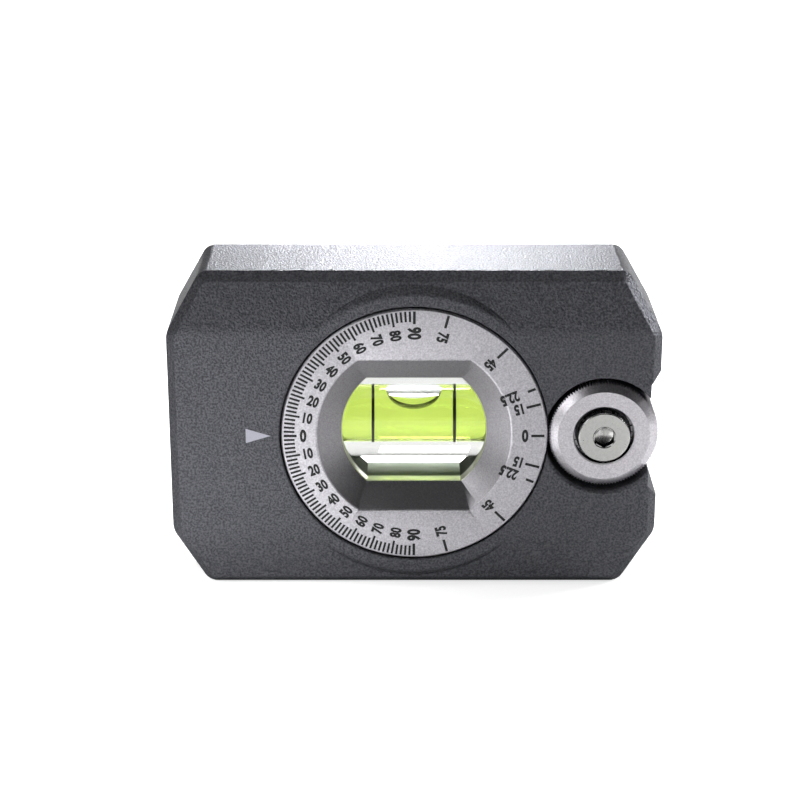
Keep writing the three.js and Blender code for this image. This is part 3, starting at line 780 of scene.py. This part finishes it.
def make_dial_face():
    shape = turned([
        (0, -HALF_DEPTH),
        (DIAL_RADIUS - DIAL_RIM_CHAMFER, -HALF_DEPTH),
        (DIAL_RADIUS, DIAL_RIM_CHAMFER - HALF_DEPTH),
        (DIAL_RADIUS, LIP_BACK),
        (FACE_HUB_RADIUS, LIP_BACK),
        (FACE_HUB_RADIUS, -DIAL_SEAM),
        (0, -DIAL_SEAM),
    ], WIDE_STEPS)
    ease_edges(shape, DIAL_EDGE_EASE)
    radius, floor = SCREW_RADIUS + SCREW_GAP, -SCREW_REACH - DIAL_SEAM
    rows = [(0, floor), (radius, floor), (radius, OVERRUN), (0, OVERRUN)]
    holes = [turned(rows, SMALL_STEPS, centre=place) for place in screw_places()]
    shape = mark_window(cut(shape, window_cutter(), cradle_cutter(), *holes))
    set_piece("dial_plate", shape, "dial", FINISHES["dial"], ["dial_face"],
              inner=(FINISHES["funnel"], FINISHES["throat"]))


def make_dial_rear():
    shape = turned([
        (0, DIAL_SEAM),
        (SPIGOT_RADIUS, DIAL_SEAM),
        (SPIGOT_RADIUS, FLANGE_FACE),
        (FLANGE_RADIUS, FLANGE_FACE),
        (FLANGE_RADIUS, FLANGE_FACE + FLANGE_THICKNESS),
        (BACK_HUB_RADIUS, FLANGE_FACE + FLANGE_THICKNESS),
        (BACK_HUB_RADIUS, GROOVE_PLACE - GROOVE_HALF),
        (GROOVE_RADIUS, GROOVE_PLACE - GROOVE_HALF),
        (GROOVE_RADIUS, GROOVE_PLACE + GROOVE_HALF),
        (BACK_HUB_RADIUS, GROOVE_PLACE + GROOVE_HALF),
        (BACK_HUB_RADIUS, HALF_DEPTH - DIAL_RIM_CHAMFER),
        (BACK_HUB_RADIUS - DIAL_RIM_CHAMFER, HALF_DEPTH),
        (0, HALF_DEPTH),
    ], WIDE_STEPS)
    ease_edges(shape, DIAL_EDGE_EASE)
    shank, head = SCREW_RADIUS + SCREW_GAP, SCREW_HEAD_RADIUS + SCREW_GAP
    seat = SCREW_HEAD_SEAT - DIAL_SEAM
    rows = [
        (0, -OVERRUN), (shank, -OVERRUN), (shank, seat), (head, seat), (head, HALF_DEPTH - MOUTH_BREAK),
        (head + MOUTH_BREAK + OVERRUN, HALF_DEPTH + OVERRUN), (0, HALF_DEPTH + OVERRUN),
    ]
    holes = [turned(rows, SMALL_STEPS, centre=place) for place in screw_places()]
    shape = mark_window(cut(shape, window_cutter(), cradle_cutter(), *holes))
    set_piece("dial_rear_plate", shape, "dial", FINISHES["dial"], ["dial_back"],
              inner=(FINISHES["funnel"], FINISHES["throat"]))


def make_dial_screws():
    head_end = SCREW_HEAD_SEAT + SCREW_HEAD_HEIGHT
    for number, place in enumerate(screw_places(), 1):
        shape = turned([
            (0, -SCREW_REACH),
            (SCREW_RADIUS, -SCREW_REACH),
            (SCREW_RADIUS, SCREW_HEAD_SEAT),
            (SCREW_HEAD_RADIUS, SCREW_HEAD_SEAT),
            (SCREW_HEAD_RADIUS, head_end),
            (0, head_end),
        ], SMALL_STEPS, centre=place)
        ease_edges(shape, SCREW_HEAD_EASE)
        key = key_hole(SCREW_KEY_RADIUS, head_end - SCREW_HEAD_HEIGHT / 2, SCREW_HEAD_HEIGHT, place)
        set_piece(
            f"rear_screw_{number}", cut(shape, key), "dial", FINISHES["steel"],
            [f"dial_screw_{number}"],
        )


def make_lock_ring():
    """The black ring that closes the bearing at the rear, with holes for a pin spanner."""
    shape = turned([
        (LOCK_RING_INNER, LOCK_RING_FACE),
        (LOCK_RING_OUTER, LOCK_RING_FACE),
        (LOCK_RING_OUTER, HALF_DEPTH),
        (LOCK_RING_INNER + LOCK_RING_CHAMFER, HALF_DEPTH),
        (LOCK_RING_INNER, HALF_DEPTH - LOCK_RING_CHAMFER),
    ], WIDE_STEPS)
    ease_edges(shape, LOCK_RING_EASE)
    circle = (LOCK_RING_INNER + LOCK_RING_OUTER) / 2
    floor, mouth = HALF_DEPTH - SPANNER_HOLE_DEPTH, HALF_DEPTH + OVERRUN
    rows = [
        (0, floor), (SPANNER_HOLE_RADIUS, floor), (SPANNER_HOLE_RADIUS, HALF_DEPTH - MOUTH_BREAK),
        (SPANNER_HOLE_RADIUS + MOUTH_BREAK + OVERRUN, mouth), (0, mouth),
    ]
    holes = []
    for number in range(SPANNER_HOLES):
        angle = FULL_TURN * (number + 0.5) / SPANNER_HOLES
        holes.append(turned(rows, SMALL_STEPS, centre=(circle * math.cos(angle), circle * math.sin(angle))))
    shape = cut(shape, *holes)
    set_piece("lock_ring", shape, "block", FINISHES["black_ring"], ["rear_lock_ring"])


# Marks on the dial and the pointer on the block


def add_mark(shape, angle, outer, length, width):
    """One radial mark, as a thin bar on the dial's face."""
    bar = bmesh.ops.create_cube(shape, size=1)["verts"]
    bmesh.ops.scale(shape, verts=bar, vec=(length, MARK_HEIGHT + MARK_SINK, width))
    middle = -HALF_DEPTH + (MARK_SINK - MARK_HEIGHT) / 2
    bmesh.ops.translate(shape, verts=bar, vec=(outer - length / 2, middle, 0))
    bmesh.ops.rotate(shape, verts=bar, cent=(0, 0, 0), matrix=Matrix.Rotation(-angle, 3, "Y"))


def make_scale():
    """A mark every two degrees on the left half, and the marks of the common angles on the right."""
    shape = bmesh.new()
    outer = DIAL_RADIUS - MARK_EDGE
    for degrees in range(-90, 91, TICK_EVERY):
        length, width = TICK_LENGTH, TICK_WIDTH
        if degrees in (-90, 0, 90):
            length, width = BOLD_TICK_LENGTH, BOLD_TICK_WIDTH
        elif degrees % NUMERAL_EVERY == 0:
            length = LONG_TICK_LENGTH
        add_mark(shape, math.pi + math.radians(degrees), outer, length, width)
    for degrees, length in RIGHT_MARKS:
        for side in (-1, 1) if degrees else (1,):
            add_mark(shape, side * math.radians(degrees), outer, length, BOLD_TICK_WIDTH)
    set_piece("scale_marks", shape, "dial", FINISHES["ink"], even_normals=False)


def numeral(words, height, boldness):
    """A flat number in X and Y, about as tall as the height given, with its middle on the origin."""
    curve = bpy.data.curves.new("numeral", "FONT")
    curve.body = words
    curve.size = height * FONT_SIZE_PER_HEIGHT
    curve.offset = boldness
    curve.space_character = NUMERAL_SPACING
    curve.extrude = (MARK_HEIGHT + MARK_SINK) / 2
    curve.resolution_u = NUMERAL_CURVE_STEPS
    holder = add_object("numeral", curve)
    mesh = evaluated_mesh(holder)
    shape = bmesh.new()
    shape.from_mesh(mesh)
    bpy.data.objects.remove(holder)
    bpy.data.curves.remove(curve)
    bpy.data.meshes.remove(mesh)
    xs = [corner.co.x for corner in shape.verts]
    ys = [corner.co.y for corner in shape.verts]
    return move(shape, (-(min(xs) + max(xs)) / 2, -(min(ys) + max(ys)) / 2, 0))


def add_numeral(target, words, angle):
    """Sets a number on the dial so that it reads inwards from near the rim."""
    if words in ("0", "90"):
        outer, height, boldness = LARGE_NUMERAL_RADIUS, LARGE_NUMERAL_HEIGHT, LARGE_NUMERAL_BOLDNESS
    else:
        outer, height, boldness = NUMERAL_RADIUS, NUMERAL_HEIGHT, NUMERAL_BOLDNESS
    shape = numeral(words, height, boldness)
    bmesh.ops.scale(shape, verts=shape.verts, vec=(NUMERAL_NARROWING, 1, 1))
    half_run = max(corner.co.x for corner in shape.verts)
    inward = Vector((-math.cos(angle), 0, -math.sin(angle)))
    across = Vector((math.sin(angle), 0, -math.cos(angle)))
    turn = Matrix((inward, across, Vector((0, -1, 0)))).transposed()
    middle = -inward * (outer - half_run)
    middle.y = -HALF_DEPTH + (MARK_SINK - MARK_HEIGHT) / 2
    bmesh.ops.transform(shape, verts=shape.verts, matrix=Matrix.Translation(middle) @ turn.to_4x4())
    mesh = mesh_of("numeral", shape)
    target.from_mesh(mesh)
    bpy.data.meshes.remove(mesh)


def make_numerals():
    shape = bmesh.new()
    for degrees in range(-90, 91, NUMERAL_EVERY):
        add_numeral(shape, str(abs(degrees)), math.pi + math.radians(degrees))
    for degrees, _ in RIGHT_MARKS:
        for side in (-1, 1) if degrees else (1,):
            add_numeral(shape, f"{degrees:g}", side * math.radians(degrees))
    bmesh.ops.recalc_face_normals(shape, faces=shape.faces)
    set_piece("scale_numerals", shape, "dial", FINISHES["ink"], even_normals=False)


def make_pointer():
    front = -HALF_DEPTH - MARK_HEIGHT
    outline = [(POINTER_BASE, POINTER_HALF), (POINTER_BASE, -POINTER_HALF), (POINTER_TIP, 0)]
    shape = prism([(x, front, z) for x, z in outline], (0, MARK_HEIGHT + MARK_SINK, 0))
    set_piece("pointer_mark", shape, "block", FINISHES["pale_paint"], even_normals=False)


# Vial


def make_vial():
    """The barrel, the liquid with the bubble as a hollow on its top, and the two reading lines."""
    shape = turned([
        (BORE_RADIUS, -BARREL_HALF),
        (BARREL_RADIUS - BARREL_CHAMFER, -BARREL_HALF),
        (BARREL_RADIUS, BARREL_CHAMFER - BARREL_HALF),
        (BARREL_RADIUS, BARREL_HALF - BARREL_CHAMFER),
        (BARREL_RADIUS - BARREL_CHAMFER, BARREL_HALF),
        (BORE_RADIUS, BARREL_HALF),
    ], WIDE_STEPS)
    set_piece("vial_body", along_x(shape), "dial", FINISHES["acrylic"], ["vial_barrel"])
    radius = BORE_RADIUS + SPIRIT_LAP
    rows = [(0, -SPIRIT_HALF), (radius, -SPIRIT_HALF), (radius, SPIRIT_HALF), (0, SPIRIT_HALF)]
    bubble = bmesh.new()
    bmesh.ops.create_uvsphere(bubble, u_segments=BUBBLE_STEPS, v_segments=BUBBLE_STEPS // 2, radius=1)
    bmesh.ops.scale(bubble, verts=bubble.verts, vec=BUBBLE_HALF)
    move(bubble, (0, 0, BORE_RADIUS))
    shape = cut(along_x(turned(rows, WIDE_STEPS)), bubble)
    set_piece("vial_liquid", shape, "dial", FINISHES["spirit"], ["spirit"])
    rows = [
        (LINE_INNER, -LINE_WIDTH / 2), (LINE_OUTER, -LINE_WIDTH / 2),
        (LINE_OUTER, LINE_WIDTH / 2), (LINE_INNER, LINE_WIDTH / 2),
    ]
    for word, side in (("left", -1), ("right", 1)):
        ring = move(along_x(turned(rows, MIDDLE_STEPS)), (side * LINE_PLACE, 0, 0))
        set_piece(f"vial_line_{word}", ring, "dial", FINISHES["ink"], [f"reading_ring_{word}"])


# Thumbwheel


def mark_walls(shape, outer, front, rear, lean=1):
    """Marks with 1 the faces inside a radius and between two depths whose normals lean little along Y."""
    for face in shape.faces:
        middle = face.calc_center_median()
        inside = math.hypot(middle.x, middle.z) < outer and front < middle.y < rear
        if inside and abs(face.normal.y) < lean:
            face.material_index = 1


def knurled_bar():
    """A bar with V teeth all round, from the wheel's front to its back."""
    shape = bmesh.new()
    circle = bmesh.ops.create_circle(
        shape, cap_ends=True, segments=2 * WHEEL_TEETH, radius=WHEEL_MEAN_RADIUS,
    )
    for number, corner in enumerate(circle["verts"]):
        reach = -TOOTH_ROOT if number % 2 else TOOTH_TIP
        corner.co *= (WHEEL_MEAN_RADIUS + reach) / WHEEL_MEAN_RADIUS
    move(turn_about(shape, "X", QUARTER_TURN), (0, -HALF_DEPTH, 0))
    return pull(shape, shape.faces[:], (0, HALF_DEPTH + WHEEL_BACK, 0))


def make_wheel():
    """The knurled bar cut down to the wheel's turned form, and its bush."""
    tip = WHEEL_MEAN_RADIUS + TOOTH_TIP
    front, rear = -HALF_DEPTH - OVERRUN, WHEEL_BACK + OVERRUN
    cone = (tip - WHEEL_FACE_RADIUS) / WHEEL_CONE_DEPTH
    envelope = turned([
        (COUNTERBORE_RADIUS + COUNTERBORE_BREAK + OVERRUN, front),
        (WHEEL_FACE_RADIUS, front),
        (WHEEL_FACE_RADIUS, -HALF_DEPTH),
        (tip + cone * WHEEL_TIP_ROOM, WHEEL_CONE_DEPTH + WHEEL_TIP_ROOM - HALF_DEPTH),
        (tip + cone * WHEEL_TIP_ROOM, WHEEL_BACK - WHEEL_REAR_BREAK),
        (tip - WHEEL_REAR_TAPER, rear),
        (BUSH_RADIUS + BUSH_GAP, rear),
        (BUSH_RADIUS + BUSH_GAP, COUNTERBORE_FLOOR),
        (COUNTERBORE_RADIUS, COUNTERBORE_FLOOR),
        (COUNTERBORE_RADIUS, COUNTERBORE_BREAK - HALF_DEPTH),
    ], WIDE_STEPS)
    shape = combined(knurled_bar(), [envelope], "INTERSECT")
    # The counterbore's walls take the bush's near-black finish as painted shade.
    mark_walls(shape, COUNTERBORE_RADIUS + COUNTERBORE_BREAK, COUNTERBORE_BREAK - HALF_DEPTH, WHEEL_BACK)
    move(shape, (WHEEL_PLACE, 0, 0))
    set_piece("knurled_wheel", shape, "wheel", FINISHES["wheel"], ["thumb_wheel"],
              inner=(FINISHES["bush"],))
    bush = turned([
        (BUSH_BORE, BUSH_FLANGE_FACE),
        (BUSH_FLANGE_RADIUS, BUSH_FLANGE_FACE),
        (BUSH_FLANGE_RADIUS, BUSH_FLANGE_FACE + BUSH_FLANGE_THICKNESS),
        (BUSH_RADIUS, BUSH_FLANGE_FACE + BUSH_FLANGE_THICKNESS),
        (BUSH_RADIUS, WHEEL_BACK - BUSH_SET_BACK),
        (BUSH_BORE, WHEEL_BACK - BUSH_SET_BACK),
    ], MIDDLE_STEPS, centre=(WHEEL_PLACE, 0))
    set_piece("bush", ease_edges(bush, BUSH_EASE), "wheel", FINISHES["bush"], ["wheel_bush"])


def make_wheel_screw():
    """The shoulder screw, whose hexagon socket has a lead-in and a drill point."""
    shape = turned([
        (0, HEAD_FRONT),
        (HEAD_RADIUS, HEAD_FRONT),
        (HEAD_RADIUS, HEAD_BACK),
        (SHOULDER_RADIUS, HEAD_BACK),
        (SHOULDER_RADIUS, POCKET_FLOOR),
        (THREAD_RADIUS, POCKET_FLOOR),
        (THREAD_RADIUS, THREAD_END),
        (0, THREAD_END),
    ], MIDDLE_STEPS, rounds=[(1, HEAD_CHAMFER)])
    radius = KEY_ACROSS_FLATS / math.sqrt(3)
    lead_in = turned([
        (0, HEAD_FRONT - OVERRUN),
        (radius + KEY_LEAD_IN / 2 + OVERRUN, HEAD_FRONT - OVERRUN),
        (radius - KEY_LEAD_IN, HEAD_FRONT + KEY_LEAD_IN_DEPTH),
        (0, HEAD_FRONT + KEY_LEAD_IN_DEPTH),
    ], MIDDLE_STEPS)
    floor = HEAD_FRONT + KEY_DEPTH
    drill_point = turned([
        (0, floor - OVERRUN), (KEY_ACROSS_FLATS / 2, floor - OVERRUN),
        (KEY_ACROSS_FLATS / 2, floor), (0, floor + DRILL_POINT_DEPTH),
    ], MIDDLE_STEPS)
    shape = cut(shape, key_hole(radius, HEAD_FRONT - OVERRUN, KEY_DEPTH + OVERRUN), lead_in, drill_point)
    # The socket's walls take the bush's near-black finish as painted shade.
    mark_walls(shape, radius + KEY_LEAD_IN, HEAD_FRONT, floor, lean=KEY_WALL_LEAN)
    move(shape, (WHEEL_PLACE, 0, 0))
    set_piece("shoulder_screw", shape, "block", FINISHES["steel"], ["wheel_screw"],
              inner=(FINISHES["bush"],))


def dress_hidden_pieces():
    """Gives each piece that stays as the frame has it a finish of its own."""
    finishes = {
        "front_glide_ring": "white_plastic", "rear_glide_ring": "white_plastic", "drive_ring": "black_ring",
        "friction_ring": "rubber", "vial_cap_left": "white_plastic", "vial_cap_right": "white_plastic",
        "vial_cushion_left": "rubber", "vial_cushion_right": "rubber", "wheel_insert": "steel",
        "wave_washer": "steel",
    }
    for name, finish in finishes.items():
        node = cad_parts[name]
        for place in node.material_slots:
            place.material = FINISHES[finish]


make_block()
make_dial_face()
make_dial_rear()
make_dial_screws()
make_lock_ring()
make_scale()
make_numerals()
make_pointer()
make_vial()
make_wheel()
make_wheel_screw()
dress_hidden_pieces()


# Studio

# Brightness of the room round the object
AMBIENT = 0.5
SKYLINE = 1.0
OVERHEAD = 0.03
FRONT_ROOM = 0.12
LEFT_BACKDROP = 0.3

# Stops of place and brightness: the place is how far a ray rises, or how far it leads to the back.
# For the backdrop, a share of its lean to the right counts as well.
BACKDROP_BY_RISE = ((0.15, SKYLINE), (0.5, OVERHEAD))
BACKDROP_BY_SIDE = ((0.3, FRONT_ROOM), (0.75, LEFT_BACKDROP), (0.95, 1))
GLASS_BY_SIDE = ((0.3, FRONT_ROOM), (0.7, 1))
RIGHT_SHARE = 0.5

# Floor, which reflections see turn from dark to white between two places behind the block
FLOOR_SIZE = 12
FLOOR_WHITE = 0.62
FLOOR_THROUGH_GLASS = 0.05
FLOOR_MIRRORED_BETWEEN = (0.1, 0.4)

# Spot on the floor in front of the block's left half
FLOOR_SPOT_POWER = 40
FLOOR_SPOT_SPREAD = 12
FLOOR_SPOT_RADIUS = 0.02
FLOOR_SPOT_PLACE = (-0.3, -0.4, 0.5)
FLOOR_SPOT_AIM = (-0.06, -0.085, 0)

# Camera
CAMERA_LENS = 94.5
CAMERA_FILM_WIDTH = 36
CAMERA_NEAREST = 0.01
CAMERA_PLACE = (-0.00287, -0.413, 0.1872)
CAMERA_TILT = 70

# Lamps that are there to be mirrored, and how much of their light falls on plain surfaces
MIRRORED_LAMPS = ("back_light", "right_strip")
MIRRORED_LAMP_SOFT_SHARE = 0.1

# Name, place, size in metres and power in watts of each lamp
LAMPS = (
    ("back_light", (0.008, 0.45, 0.25), (0.04, 0.17), 2.9),
    ("back_right_light", (0.36, 0.9, 0.09), (0.25, 0.15), 0.6),
    ("left_softbox", (-0.5, -0.42, 0.35), (0.3, 0.3), 0.9),
    ("right_strip", (0.6, 0.15, 0.26), (0.1, 0.3), 3.2),
    ("top_light", (0.0, 0.0, 1.0), (0.6, 0.6), 0.75),
)


def make_world():
    """The room: plain white to the camera, and a soft grey light to plain surfaces.

    Reflections see a white backdrop behind the object, darker towards the left, and a dark room overhead
    and in front. Rays that go through glass see white behind the object at every height.
    """
    world = bpy.data.worlds.new("studio")
    bpy.context.scene.world = world
    world.use_nodes = True
    nodes, links = world.node_tree.nodes, world.node_tree.links
    nodes.clear()
    ambient, backdrop, through_glass, white = [nodes.new("ShaderNodeBackground") for _ in range(4)]
    for background, level in ((ambient, AMBIENT), (through_glass, 1), (white, 1)):
        background.inputs["Color"].default_value = (1, 1, 1, 1)
        background.inputs["Strength"].default_value = level
    place = nodes.new("ShaderNodeTexCoord")
    split = nodes.new("ShaderNodeSeparateXYZ")
    links.new(place.outputs["Generated"], split.inputs["Vector"])
    to_right = nodes.new("ShaderNodeMath")
    to_right.operation = "MULTIPLY_ADD"
    to_right.inputs[1].default_value = RIGHT_SHARE
    links.new(split.outputs["X"], to_right.inputs[0])
    links.new(split.outputs["Y"], to_right.inputs[2])
    shades = (
        (backdrop, split.outputs["Z"], "Color", BACKDROP_BY_RISE),
        (backdrop, to_right.outputs["Value"], "Strength", BACKDROP_BY_SIDE),
        (through_glass, split.outputs["Y"], "Strength", GLASS_BY_SIDE),
    )
    for background, source, socket, stops in shades:
        ramp = nodes.new("ShaderNodeValToRGB")
        while len(ramp.color_ramp.elements) < len(stops):
            ramp.color_ramp.elements.new(1)
        for element, (position, level) in zip(ramp.color_ramp.elements, stops):
            element.position = position
            element.color = (level, level, level, 1)
        links.new(source, ramp.inputs["Fac"])
        links.new(ramp.outputs["Color"], background.inputs[socket])
    path = nodes.new("ShaderNodeLightPath")
    blended = ambient
    seen = (("Is Glossy Ray", backdrop), ("Is Transmission Ray", through_glass), ("Is Camera Ray", white))
    for kind, background in seen:
        blend = nodes.new("ShaderNodeMixShader")
        links.new(path.outputs[kind], blend.inputs["Fac"])
        links.new(blended.outputs[0], blend.inputs[1])
        links.new(background.outputs["Background"], blend.inputs[2])
        blended = blend
    links.new(blended.outputs["Shader"], nodes.new("ShaderNodeOutputWorld").inputs["Surface"])


def make_floor():
    """A white floor that glows for the camera, faintly for glass, and for reflections only at the back."""
    shape = bmesh.new()
    bmesh.ops.create_grid(shape, x_segments=1, y_segments=1, size=FLOOR_SIZE)
    floor = add_object("floor", mesh_of("floor", shape))
    material = bpy.data.materials.new("floor")
    material.use_nodes = True
    nodes, links = material.node_tree.nodes, material.node_tree.links
    shader = nodes["Principled BSDF"]
    shader.inputs["Base Color"].default_value = (0.8, 0.8, 0.8, 1)
    shader.inputs["Roughness"].default_value = 0.9
    shader.inputs["Specular IOR Level"].default_value = 0.0
    shader.inputs["Emission Color"].default_value = (1, 1, 1, 1)
    place = nodes.new("ShaderNodeTexCoord")
    split = nodes.new("ShaderNodeSeparateXYZ")
    links.new(place.outputs["Object"], split.inputs["Vector"])
    behind = nodes.new("ShaderNodeMapRange")
    for socket, value in zip(("From Min", "From Max", "To Max"), (*FLOOR_MIRRORED_BETWEEN, FLOOR_WHITE)):
        behind.inputs[socket].default_value = value
    links.new(split.outputs["Y"], behind.inputs["Value"])
    path = nodes.new("ShaderNodeLightPath")
    lift = None
    levels = (
        ("Is Camera Ray", FLOOR_WHITE),
        ("Is Transmission Ray", FLOOR_THROUGH_GLASS),
        ("Is Glossy Ray", behind.outputs["Result"]),
    )
    for kind, level in levels:
        share = nodes.new("ShaderNodeMath")
        share.operation = "MULTIPLY_ADD"
        share.inputs[2].default_value = 0
        if isinstance(level, float):
            share.inputs[1].default_value = level
        else:
            links.new(level, share.inputs[1])
        links.new(path.outputs[kind], share.inputs[0])
        if lift:
            links.new(lift, share.inputs[2])
        lift = share.outputs["Value"]
    links.new(lift, shader.inputs["Emission Strength"])
    floor.data.materials.append(material)


def set_lamp(lamp, place, aim):
    holder = add_object(lamp.name, lamp)
    holder.location = place
    holder.rotation_euler = (Vector(aim) - Vector(place)).to_track_quat("-Z", "Y").to_euler()


def make_lamps():
    """Flat lamps, all turned to the dial's middle."""
    for name, place, size, power in LAMPS:
        lamp = bpy.data.lights.new(name, "AREA")
        lamp.shape = "RECTANGLE"
        lamp.size, lamp.size_y = size
        lamp.energy = power
        if name in MIRRORED_LAMPS:
            lamp.diffuse_factor = lamp.transmission_factor = MIRRORED_LAMP_SOFT_SHARE
        set_lamp(lamp, place, (0, 0, HALF_HEIGHT * MM))


def make_floor_spot():
    """A bright spot on the floor, which the front face reflects."""
    lamp = bpy.data.lights.new("floor_spot", "SPOT")
    lamp.spot_size = math.radians(FLOOR_SPOT_SPREAD)
    lamp.spot_blend = 1
    lamp.shadow_soft_size = FLOOR_SPOT_RADIUS
    lamp.energy = FLOOR_SPOT_POWER
    set_lamp(lamp, FLOOR_SPOT_PLACE, FLOOR_SPOT_AIM)


def make_camera():
    camera = bpy.data.cameras.new("camera")
    camera.lens = CAMERA_LENS
    camera.sensor_width = CAMERA_FILM_WIDTH
    camera.clip_start = CAMERA_NEAREST
    holder = add_object("camera", camera)
    holder.location = CAMERA_PLACE
    holder.rotation_euler = (math.radians(CAMERA_TILT), 0, 0)
    bpy.context.scene.camera = holder


make_world()
make_floor()
make_lamps()
make_floor_spot()
make_camera()
bpy.context.scene.view_settings.view_transform = "Standard"
